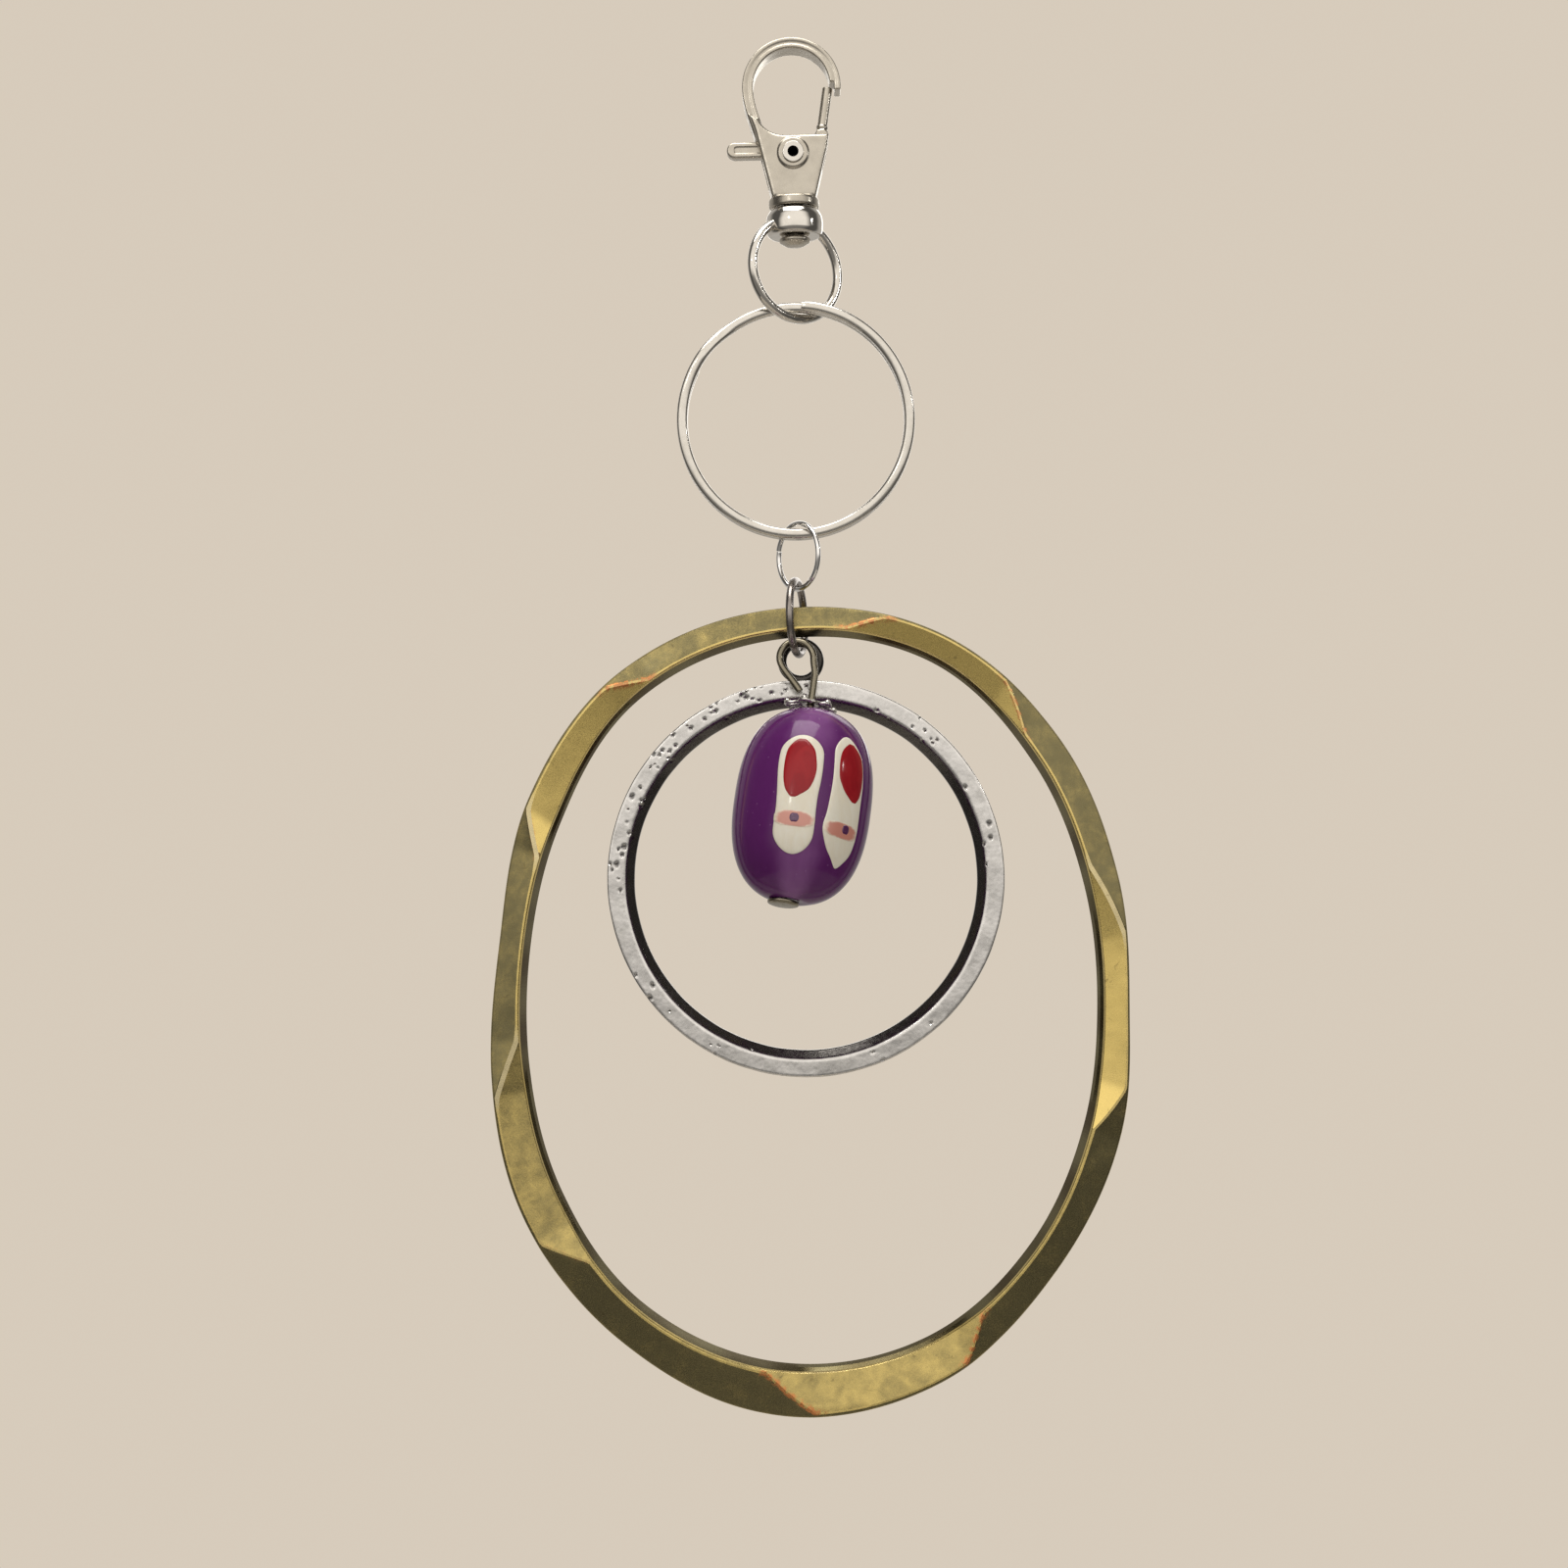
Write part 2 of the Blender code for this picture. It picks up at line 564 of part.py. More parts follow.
def build_split_ring(material, parent):
    """Two turns of flattened wire side by side, with the step from front to back near the top."""
    mid_r = SPLIT_OUTER_R - 0.5 * SPLIT_WIRE
    half_turn = 0.5 * (SPLIT_WIRE_DEPTH + SPLIT_TURN_GAP)
    end = 360.0 + SPLIT_STEP_START - 4.0
    half_w = 0.5 * SPLIT_WIRE
    half_d = 0.5 * SPLIT_WIRE_DEPTH
    section = [(half_w * math.copysign(abs(math.cos(a)) ** 0.75, math.cos(a)),
                half_d * math.copysign(abs(math.sin(a)) ** 0.75, math.sin(a)))
               for a in [2.0 * math.pi * (i + 0.5) / 8 for i in range(8)]]
    count = 72
    sections = []
    for i in range(count + 1):
        turn = SPLIT_START + (end - SPLIT_START) * i / count
        step = (turn - SPLIT_STEP_START) / (SPLIT_STEP_END - SPLIT_STEP_START)
        y = half_turn * (2.0 * smoothstep(step) - 1.0)
        angle = math.radians(90.0 - turn)
        out = Vector((math.cos(angle), 0.0, math.sin(angle)))
        y += SPLIT_TOP_Y * 0.5 * (1.0 + out.z)
        centre = Vector((SPLIT_X, y, SPLIT_Z)) + out * mid_r
        sections.append([centre + out * a + Vector((0.0, b, 0.0)) for a, b in section])
    add_object("split_ring", loft(sections, False), material, parent)


def build_jump_ring(name, material, parent, centre, mid_r, wire_r, yaw_degrees, slit_at):
    """A round wire bent into a ring, with a narrow slit where its ends meet."""
    yaw = math.radians(yaw_degrees)
    across = Vector((math.cos(yaw), math.sin(yaw), 0.0))
    normal = Vector((-math.sin(yaw), math.cos(yaw), 0.0))
    points = []
    count = 40
    for i in range(count + 1):
        angle = math.radians(slit_at + 0.5 * JUMP_SLIT + (360.0 - JUMP_SLIT) * i / count)
        points.append(centre + across * (mid_r * math.cos(angle))
                      + Vector((0.0, 0.0, mid_r * math.sin(angle))))
    add_object(name, tube(points, wire_r, 8, side=normal), material, parent)


def hoop_shape(angle):
    """Inner radius and bar width of the hoop, smooth through the outline's points."""
    count = len(HOOP_OUTLINE)
    pitch = 360.0 / count
    position = ((angle - HOOP_OUTLINE[0][0]) % 360.0) / pitch
    index = int(position)
    t = position - index
    values = []
    for column in (1, 2):
        a, b, c, d = (HOOP_OUTLINE[(index + k) % count][column] for k in (-1, 0, 1, 2))
        values.append(b + 0.5 * t * (c - a + t * (2.0 * a - 5.0 * b + 4.0 * c - d
                                                 + t * (3.0 * (b - c) + d - a))))
    return values[0], values[1]


def ridge_place(angle):
    """Where the ridge runs across the bar: 0 at the inner edge and 1 at the outer edge."""
    angle %= 360.0
    place = 1.0
    for i, (start, end) in enumerate(HOOP_RIDGES):
        if angle >= start:
            t = min(1.0, (angle - start) / (end - start))
            place = 1.0 - t if i % 2 == 0 else t
    return 0.06 + 0.88 * place


def hoop_section(angle, centre):
    """One section of the hoop's bar: slanted walls, a ridged front and a flat back."""
    inner, width = hoop_shape(angle)
    ridge = ridge_place(angle)
    half = 0.5 * HOOP_DEPTH
    face_in = inner + HOOP_INNER_SLANT
    face_out = inner + width - HOOP_OUTER_SLANT
    drop_in = HOOP_FACET_DROP * ridge
    drop_out = HOOP_FACET_DROP * (1.0 - ridge)
    points = [(face_in, -half + drop_in), (face_in + (face_out - face_in) * ridge, -half),
              (face_out, -half + drop_out), (inner + width, -half + drop_out + 0.35),
              (inner + width - 0.1, half), (inner, half)]
    direction = Vector((math.cos(math.radians(angle)), 0.0, math.sin(math.radians(angle))))
    return [centre + direction * r + Vector((0.0, y, 0.0)) for r, y in points]


def hoop_centre():
    """The hoop hangs on the eyelet's wire, which lies under its bar."""
    over = HOOP_Y + 0.5 * HOOP_DEPTH - EYELET_Y
    lift = math.sqrt(EYELET_WIRE_R ** 2 - min(over, 0.0) ** 2)
    seat = EYELET_WIRE_Z + lift + LINK_GAP
    return Vector((HOOP_X, HOOP_Y, seat - hoop_shape(90.0)[0]))


def build_hoop(material, parent):
    angles = {HOOP_STEP * i for i in range(int(round(360.0 / HOOP_STEP)))}
    for start, end in HOOP_RIDGES:
        angles = {a for a in angles if min(abs(a - start), abs(a - end)) > 0.3 * HOOP_STEP}
        angles |= {start, end}
    centre = hoop_centre()
    sections = [hoop_section(angle, centre) for angle in sorted(angles)]
    add_object("brass_hoop", loft(sections, True), material, parent, smooth=12.0)


def build_silver_ring(material, parent):
    """Flat cast ring with a slanted inner wall, and the eyelet that is cast onto its top."""
    centre = Vector((EYELET_X, EYELET_Y, RING_Z))
    inner = RING_OUTER_R - RING_WIDTH
    half = 0.5 * RING_DEPTH
    profile = [(inner, 0.3 * half), (inner + RING_CHAMFER, -half), (RING_OUTER_R - 0.5, -half),
               (RING_OUTER_R, -half + 0.45), (RING_OUTER_R, half - 0.4), (RING_OUTER_R - 0.4, half),
               (inner + 0.5, half), (inner, half - 0.3)]
    ring = add_object("silver_ring", lathe(profile, 66, centre, 'Y'), material, parent)
    points = [Vector((EYELET_X + x, EYELET_Y, EYELET_Z + z))
              for x, z in arc(0.0, 0.0, EYELET_MID_R, 5.0, 365.0, 26)[:-1]]
    eyelet = tube(points, EYELET_WIRE_R, 8, closed=True)
    add_boolean(ring, add_helper("join_eyelet", eyelet), 'UNION')


# --- bead ----------------------------------------------------------------------------------

def pin_frame():
    """From the pin's own frame, where it hangs on the origin with +Z along its axis."""
    lean = Matrix.Rotation(math.radians(PIN_LEAN), 4, 'Y')
    pitch = Matrix.Rotation(math.radians(-PIN_PITCH), 4, 'X')
    return Matrix.Translation(PIN_HANG) @ pitch @ lean


LOOP_CENTRE_X = PIN_HANG_OFFSET
LOOP_CENTRE_Z = -math.sqrt(PIN_LOOP_R ** 2 - PIN_HANG_OFFSET ** 2)
AXIS_X = LOOP_CENTRE_X + PIN_LOOP_OFFSET
BEAD_TOP = LOOP_CENTRE_Z - STEM_LENGTH
BEAD_MID = BEAD_TOP - 0.5 * BEAD_LENGTH
BEAD_BOTTOM = BEAD_TOP - BEAD_LENGTH


def build_head_pin(material, parent):
    """Looped wire through the bead, with a flat head below it; the loop's end comes back slanting
    to the stem."""
    loop = arc(LOOP_CENTRE_X, LOOP_CENTRE_Z, PIN_LOOP_R, 195.0, 5.0, 16)
    turn = [Vector((x, 0.0, z)) for x, z in loop]
    end = Vector((AXIS_X - PIN_END_GAP, 0.0, BEAD_TOP + PIN_END_RISE))
    upward = (turn[1] - turn[0]).normalized()
    points = [end] + bezier(end, end + Vector((-1.1, 0.0, 1.4)), turn[0] - upward * 1.1, turn[0], 6)
    points += turn[1:]
    stem_top = Vector((AXIS_X, 0.0, LOOP_CENTRE_Z - 1.05 * PIN_LOOP_R))
    heading = (points[-1] - points[-2]).normalized()
    points += bezier(points[-1], points[-1] + heading * 0.8, stem_top + Vector((0.0, 0.0, 0.9)),
                     stem_top, 5)
    head_top = BEAD_BOTTOM - RUNNING_GAP
    for i in range(1, 7):
        points.append(stem_top.lerp(Vector((AXIS_X, 0.0, head_top - 0.3 * HEAD_HEIGHT)), i / 6))
    pin = add_object("head_pin", transformed(tube(points, PIN_WIRE_R, 10), pin_frame()), material,
                     parent)
    profile = [(HEAD_R - 0.15, 0.0), (HEAD_R, -0.15), (HEAD_R - 0.05, -0.4), (0.5, -HEAD_HEIGHT)]
    sections = []
    for radius, drop in profile:
        sections.append([Vector((AXIS_X + x, y, head_top + drop))
                         for x, y in round_section(radius, 20)])
    head = transformed(loft(sections, False), pin_frame())
    add_boolean(pin, add_helper("join_head", head), 'UNION')


def transformed(bm, matrix):
    bm.transform(matrix)
    return bm


def build_bead_cap(material, parent):
    """Thin domed cap with a scalloped edge, one scallop for each petal."""
    count = 6 * CAP_PETALS
    hole_r = PIN_WIRE_R + RUNNING_GAP
    rows = 4
    sections = []
    for i in range(count):
        angle = 2.0 * math.pi * i / count
        rim = CAP_R * (0.80 + 0.20 * abs(math.cos(0.5 * CAP_PETALS * angle)))
        outer = []
        inner = []
        for k in range(rows + 1):
            radius = hole_r + (rim - hole_r) * k / rows
            height = BEAD_TOP + CAP_SHEET + 0.10 + CAP_HEIGHT * (1.0 - (radius / CAP_R) ** 2) * 0.6
            across = Vector((AXIS_X + radius * math.cos(angle), radius * math.sin(angle), height))
            outer.append(across)
            inner.append(across - Vector((0.0, 0.0, CAP_SHEET)))
        sections.append(outer + inner[::-1])
    add_object("bead_cap", transformed(loft(sections, True), pin_frame()), material, parent)


def bead_radius(height):
    """Radius of the bead at a height above its middle, as a share of its widest."""
    t = min(1.0, abs(height) / (0.5 * BEAD_LENGTH) * BEAD_END_CUT)
    return (1.0 - t ** BEAD_FULLNESS) ** (1.0 / BEAD_FULLNESS)


def bead_point(angle, height, lift=0.0):
    """A point on the bead, or lifted off it; the angle is in degrees from the front."""
    turn = math.radians(angle)
    swell = 1.0 + 0.02 * math.cos(4.0 * turn)
    share = bead_radius(height) * swell
    x = (0.5 * BEAD_WIDTH * share + lift) * math.sin(turn)
    y = -(0.5 * BEAD_DEPTH * share + lift) * math.cos(turn)
    return Vector((AXIS_X + BEAD_OFFSET + x, y, BEAD_MID + height))


def build_bead(material, parent):
    rows = 15
    heights = [0.5 * BEAD_LENGTH * math.sin(math.pi * (k / rows - 0.5)) for k in range(rows + 1)]
    segments = 30
    sections = []
    for i in range(segments):
        angle = 360.0 * i / segments
        section = [bead_point(angle, height) for height in heights]
        bore = Vector((math.sin(math.radians(angle)), -math.cos(math.radians(angle)), 0.0))
        bore *= BEAD_BORE_R
        section.append(Vector((AXIS_X, 0.0, BEAD_TOP)) + bore)
        section.append(Vector((AXIS_X, 0.0, BEAD_BOTTOM)) + bore)
        sections.append(section)
    add_object("glass_bead", transformed(loft(sections, True), pin_frame()), material, parent)


def build_inlay(name, material, parent, centre, half_width, low, high, layer, taper):
    """A thin leaf of glass that follows the bead: its middle line is centre millimetres to the
    right of the picture's, and it reaches from low to high above the bead's middle."""
    rows = 8
    columns = 4
    lift_low = INLAY_GAP + layer * (INLAY_SHEET + INLAY_GAP)
    lift_high = lift_low + INLAY_SHEET
    scale = 360.0 / (math.pi * 0.5 * (BEAD_WIDTH + BEAD_DEPTH))
    grids = {lift_low: [], lift_high: []}
    for lift, grid in grids.items():
        for k in range(rows + 1):
            t = -math.cos(math.pi * k / rows)
            height = 0.5 * (low + high) + 0.5 * (high - low) * t
            narrow = 1.0 - taper * 0.5 * (1.0 - t)
            half = half_width * narrow * max(0.3, math.sqrt(max(0.0, 1.0 - t ** 4)))
            row = []
            for j in range(columns + 1):
                offset = centre + half * (2.0 * j / columns - 1.0)
                row.append(bead_point(BEAD_SPIN + offset * scale, height, lift))
            grid.append(row)
    sections = []
    for k in range(rows + 1):
        sections.append(grids[lift_low][k] + grids[lift_high][k][::-1])
    add_object(name, transformed(loft(sections, False), pin_frame()), material, parent)


def build_picture(materials, parent):
    """A pair of slippers: white glass, red insoles, and a pink strap with a violet dot on each."""
    slippers = {"left": (-3.36, 2.6, -7.6, 6.8), "right": (3.02, 2.7, -8.15, 7.7)}
    for side, (centre, half, low, high) in slippers.items():
        span = high - low
        build_inlay("slipper_" + side, materials["white_glass"], parent, centre, half, low, high,
                    0, 0.15)
        build_inlay("insole_" + side, materials["red_glass"], parent, centre, 0.72 * half,
                    low + 0.455 * span, high - 0.035 * span, 1, 0.0)
        build_inlay("strap_" + side, materials["pink_glass"], parent, centre, 0.82 * half,
                    low + 0.225 * span, low + 0.32 * span, 1, 0.0)
        build_inlay("dot_" + side, materials["violet_glass"], parent, centre + 0.1, 0.5,
                    low + 0.24 * span, low + 0.315 * span, 2, 0.0)


def main():
    clear_scene()
    materials = {name: make_material(name) for name in MATERIALS}
    origin = Vector((0.0, 0.0, 0.0))
    clasp = add_empty("clasp_frame", origin)
    lever = add_empty("lever_frame", PIVOT, clasp)
    swivel = add_empty("swivel_frame", Vector((0.0, 0.0, BOSS_TOP_Z)), clasp)
    key_ring = add_empty("split_ring_frame", Vector((LOOP_X, 0.0, LOOP_SEAT_Z)), swivel)
    small = add_empty("small_ring_frame", Vector((SMALL_X, 0.0, SPLIT_SEAT_Z)), key_ring)
    large = add_empty("large_ring_frame", Vector((LARGE_X, 0.0, SMALL_SEAT_Z)), small)
    centre = hoop_centre()
    bar_seat = Vector((LARGE_X, HOOP_Y, centre.z + hoop_shape(90.0)[0]))
    hoop = add_empty("hoop_frame", bar_seat, large)
    ring = add_empty("ring_frame", Vector((EYELET_X, EYELET_Y, EYELET_WIRE_Z)), large)
    pin = add_empty("pin_frame", PIN_HANG, large)
    bead_place = pin_frame() @ Vector((AXIS_X, 0.0, BEAD_MID))
    bead = add_empty("bead_frame", bead_place, pin)
    cap_place = pin_frame() @ Vector((AXIS_X, 0.0, BEAD_TOP))
    cap = add_empty("cap_frame", cap_place, pin)

    build_clasp_body(materials["satin_nickel"], clasp)
    build_rivet(materials["chrome"], clasp)
    build_spring(materials["spring_steel"], clasp)
    build_lever(materials["satin_nickel"], lever)
    build_swivel_loop(materials["chrome"], swivel)
    build_split_ring(materials["split_steel"], key_ring)
    build_jump_ring("small_jump_ring", materials["bright_silver"], small,
                    Vector((SMALL_X, 0.0, SMALL_Z)), SMALL_MID_R, SMALL_WIRE_R, SMALL_YAW, 165.0)
    build_jump_ring("large_jump_ring", materials["dark_steel"], large,
                    Vector((LARGE_X, 0.0, LARGE_Z)), LARGE_MID_R, LARGE_WIRE_R, LARGE_YAW, 20.0)
    build_hoop(materials["antique_brass"], hoop)
    build_silver_ring(materials["cast_silver"], ring)
    build_head_pin(materials["pin_steel"], pin)
    build_bead_cap(materials["cast_silver"], cap)
    build_bead(materials["purple_glass"], bead)
    build_picture(materials, bead)
    bpy.context.view_layer.update()


main()
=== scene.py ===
"""Looks of the bag charm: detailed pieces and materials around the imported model.

Sizes are in millimetres and MM turns them into metres.  +Z is up, +X is to the right seen from the
front, and the front looks towards -Y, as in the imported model.  Each piece repeats the sizes that
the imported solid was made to.
"""
import math

import bmesh
import bpy
from mathutils import Matrix, Vector, noise


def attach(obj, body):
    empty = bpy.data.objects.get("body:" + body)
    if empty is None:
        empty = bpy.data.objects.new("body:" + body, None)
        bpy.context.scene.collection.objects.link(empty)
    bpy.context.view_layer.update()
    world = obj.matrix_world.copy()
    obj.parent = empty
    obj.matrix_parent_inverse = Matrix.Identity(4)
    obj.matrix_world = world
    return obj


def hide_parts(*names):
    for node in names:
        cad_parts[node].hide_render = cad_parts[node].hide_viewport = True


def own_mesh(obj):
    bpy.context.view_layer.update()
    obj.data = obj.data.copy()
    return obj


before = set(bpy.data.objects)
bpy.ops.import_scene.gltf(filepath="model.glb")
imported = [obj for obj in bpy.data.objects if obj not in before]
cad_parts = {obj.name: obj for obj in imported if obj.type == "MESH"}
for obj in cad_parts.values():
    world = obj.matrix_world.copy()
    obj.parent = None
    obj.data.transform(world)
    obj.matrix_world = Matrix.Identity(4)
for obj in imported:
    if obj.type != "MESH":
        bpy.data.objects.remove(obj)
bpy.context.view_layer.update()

MM = 0.001
ORIGIN = Vector((0.0, 0.0, 0.0))
RIGHT = Vector((1.0, 0.0, 0.0))
FRONT = Vector((0.0, -1.0, 0.0))
BACK = Vector((0.0, 1.0, 0.0))
UP = Vector((0.0, 0.0, 1.0))


# --- mesh tools ----------------------------------------------------------------------------

def loft(sections, closed, colour=None):
    """Skin through equal loops of points, with a map of (along, around) in millimetres.

    colour(row, column) gives a face corner's finish as three numbers, which in places are painted
    shade or painted highlight."""
    bm = bmesh.new()
    uv = bm.loops.layers.uv.new("along")
    paint = bm.loops.layers.float_color.new("finish") if colour else None
    rows = [[bm.verts.new(point) for point in section] for section in sections]
    count = len(rows[0])
    middles = [sum(section, Vector()) / count for section in sections]
    if closed:
        middles.append(middles[0])
    along = [0.0]
    for a, b in zip(middles, middles[1:]):
        along.append(along[-1] + (b - a).length)
    around = [0.0]
    for i in range(count):
        around.append(around[-1] + (sections[0][(i + 1) % count] - sections[0][i]).length)
    for k in range(len(rows) if closed else len(rows) - 1):
        first = rows[k]
        second = rows[(k + 1) % len(rows)]
        for i in range(count):
            j = (i + 1) % count
            face = bm.faces.new((first[i], first[j], second[j], second[i]))
            corners = ((k, i), (k, i + 1), (k + 1, i + 1), (k + 1, i))
            for loop, (row, column) in zip(face.loops, corners):
                loop[uv].uv = (along[row], around[column])
                if colour:
                    loop[paint] = (*colour(k, row, i, column), 1.0)
    if not closed:
        bm.faces.new(rows[0])
        bm.faces.new(reversed(rows[-1]))
    return bm


def circle(radius, sides):
    return [(radius * math.cos(2.0 * math.pi * i / sides),
             radius * math.sin(2.0 * math.pi * i / sides)) for i in range(sides)]


def sweep(points, section, closed=False, side=BACK, sizes=None):
    """A section of (across, up) points along a path; side is near the path's plane normal."""
    sections = []
    last = len(points) - 1
    for i, point in enumerate(points):
        if closed:
            ahead = points[(i + 1) % len(points)] - points[i - 1]
        else:
            ahead = points[min(i + 1, last)] - points[max(i - 1, 0)]
        ahead.normalize()
        across = ahead.cross(side).normalized()
        up = across.cross(ahead)
        size = sizes[i] if sizes else 1.0
        sections.append([point + (across * a + up * b) * size for a, b in section])
    return sections


def tube(points, radius, sides, closed=False, side=BACK, cap=0.0):
    """A round wire; cap rounds off the rim of both cut ends by that many millimetres."""
    section = circle(radius, sides)
    if closed or cap <= 0.0:
        return loft(sweep(points, section, closed, side), closed)
    start = (points[0] - points[1]).normalized() * cap
    finish = (points[-1] - points[-2]).normalized() * cap
    small = 1.0 - 0.7 * cap / radius
    path = [points[0] + start] + [points[0] + start * 0.6] + points + [points[-1] + finish * 0.6]
    path.append(points[-1] + finish)
    sizes = [small, 1.0 - 0.3 * (1.0 - small)] + [1.0] * len(points)
    sizes += [1.0 - 0.3 * (1.0 - small), small]
    return loft(sweep(path, section, False, side, sizes), False)


def lathe(profile, segments, place=ORIGIN, axis='Z', solid=False, colour=None):
    """Turn a profile of (radius, height) points; solid closes it at both ends on the axis."""
    def at(r, h, turn):
        x = r * math.cos(turn)
        y = r * math.sin(turn)
        return place + Vector((x, y, h) if axis == 'Z' else (x, h, y))

    turns = [2.0 * math.pi * i / segments for i in range(segments)]
    if solid:
        return loft([[at(r, h, turn) for turn in turns] for r, h in profile], False, colour)
    return loft([[at(r, h, turn) for r, h in profile] for turn in turns], True, colour)


def rounded(corners, radius, steps=4, closed=True):
    """Replace each corner of an outline with a short curve."""
    points = []
    count = len(corners)
    for i, corner in enumerate(corners):
        here = Vector(corner)
        if not closed and i in (0, count - 1):
            points.append(tuple(here))
            continue
        back = Vector(corners[i - 1]) - here
        ahead = Vector(corners[(i + 1) % count]) - here
        reach = min(radius, 0.45 * back.length, 0.45 * ahead.length)
        a = here + back.normalized() * reach
        b = here + ahead.normalized() * reach
        for k in range(steps + 1):
            t = k / steps
            points.append(tuple(a * (1.0 - t) ** 2 + here * (2.0 * t * (1.0 - t)) + b * t * t))
    return points


def prism(outline, half_depth, bevel=0.0):
    """Extrude an outline of (x, z) points to both sides of y = 0, with rounded rims."""
    bm = loft([[Vector((x, y, z)) for x, z in outline] for y in (-half_depth, half_depth)], False)
    if bevel > 0.0:
        bmesh.ops.recalc_face_normals(bm, faces=bm.faces)
        rims = [edge for edge in bm.edges if abs(edge.verts[0].co.y - edge.verts[1].co.y) < 1e-6]
        bmesh.ops.bevel(bm, geom=rims, offset=bevel, segments=3, profile=0.5, affect='EDGES')
    return bm


def arc(centre_x, centre_z, radius, start, end, count):
    """Points on an arc in the XZ plane, angles in degrees counterclockwise from +X."""
    points = []
    for i in range(count + 1):
        angle = math.radians(start + (end - start) * i / count)
        points.append((centre_x + radius * math.cos(angle), centre_z + radius * math.sin(angle)))
    return points


def bezier(a, b, c, d, count):
    """Points on a cubic curve, without its first point."""
    points = []
    for i in range(1, count + 1):
        t = i / count
        s = 1.0 - t
        points.append(a * s ** 3 + b * (3.0 * s * s * t) + c * (3.0 * s * t * t) + d * t ** 3)
    return points


def smoothstep(t):
    t = max(0.0, min(1.0, t))
    return t * t * (3.0 - 2.0 * t)


def spline(a, b, c, d, t):
    """Smooth value from b to c, with a and d the values beyond them."""
    return b + 0.5 * t * (c - a + t * (2.0 * a - 5.0 * b + 4.0 * c - d
                                       + t * (3.0 * (b - c) + d - a)))


def curve_through(stations, t):
    """Smooth value at t through evenly spaced stations, t from 0 to 1."""
    last = len(stations) - 1
    place = t * last
    i = min(int(place), last - 1)
    return spline(*(stations[min(max(i + k, 0), last)] for k in (-1, 0, 1, 2)), place - i)


def spoke(degrees):
    """Unit vector in the plane of the flat rings, counterclockwise from +X."""
    angle = math.radians(degrees)
    return Vector((math.cos(angle), 0.0, math.sin(angle)))


def turned(degrees):
    """Sideways and normal directions of an upright ring that is turned about +Z."""
    yaw = math.radians(degrees)
    return (Vector((math.cos(yaw), math.sin(yaw), 0.0)),
            Vector((-math.sin(yaw), math.cos(yaw), 0.0)))


def grey(value):
    return (value, value, value)


def apart(a, b):
    """Signed angle from b to a, in degrees."""
    return (a - b + 180.0) % 360.0 - 180.0


def as_object(name, bm):
    bmesh.ops.recalc_face_normals(bm, faces=bm.faces)
    mesh = bpy.data.meshes.new(name)
    bm.to_mesh(mesh)
    bm.free()
    obj = bpy.data.objects.new(name, mesh)
    bpy.context.scene.collection.objects.link(obj)
    return obj


def apply_modifiers(obj):
    """Keep the result of an object's modifiers as its mesh."""
    bpy.context.view_layer.update()
    graph = bpy.context.evaluated_depsgraph_get()
    mesh = bpy.data.meshes.new_from_object(obj.evaluated_get(graph))
    obj.modifiers.clear()
    obj.data = mesh


def combine(obj, joined, removed=()):
    """Join bmeshes to an object and then cut others out of it, in order."""
    helpers = []
    for operation, group in (('UNION', joined), ('DIFFERENCE', removed)):
        for bm in group:
            helper = as_object("helper", bm)
            modifier = obj.modifiers.new("combine", 'BOOLEAN')
            modifier.operation = operation
            modifier.solver = 'EXACT'
            modifier.object = helper
            helpers.append(helper)
    apply_modifiers(obj)
    for helper in helpers:
        bpy.data.objects.remove(helper)


def soften(obj, voxel, smooth_steps):
    """Turn a cut solid into an even skin with small fillets, as a casting has."""
    remesh = obj.modifiers.new("skin", 'REMESH')
    remesh.mode = 'VOXEL'
    remesh.voxel_size = voxel
    smooth = obj.modifiers.new("fillets", 'SMOOTH')
    smooth.factor = 0.5
    smooth.iterations = smooth_steps
    apply_modifiers(obj)


def place_piece(obj, material, body, node, slot, sharp):
    """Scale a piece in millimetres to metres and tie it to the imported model.

    Edges sharper than so many degrees stay sharp."""
    obj.data.transform(Matrix.Scale(MM, 4))
    obj.data.materials.clear()
    obj.data.materials.append(material)
    obj.data.shade_smooth()
    obj.data.set_sharp_from_angle(angle=math.radians(sharp))
    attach(obj, body)
    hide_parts(node)


# --- material tools ------------------------------------------------------------------------

class Nodes:
    """A node tree and short ways to add to it."""

    def __init__(self, tree):
        self.tree = tree

    def add(self, kind, inputs=(), **settings):
        node = self.tree.nodes.new("ShaderNode" + kind)
        for key, value in settings.items():
            setattr(node, key, value)
        for key, value in dict(inputs).items():
            self.put(node.inputs[key], value)
        return node

    def put(self, socket, value):
        if isinstance(value, bpy.types.NodeSocket):
            self.tree.links.new(value, socket)
        else:
            socket.default_value = value

    def ramp(self, value, low, high, out_low=0.0, out_high=1.0):
        """Smooth step from one value to another."""
        inputs = {"Value": value, "From Min": low, "From Max": high, "To Min": out_low,
                  "To Max": out_high}
        return self.add("MapRange", inputs, interpolation_type='SMOOTHSTEP').outputs["Result"]

    def maths(self, operation, a, b):
        return self.add("Math", {0: a, 1: b}, operation=operation).outputs[0]

    def times(self, a, b):
        return self.maths('MULTIPLY', a, b)

    def plus(self, a, b):
        return self.maths('ADD', a, b)


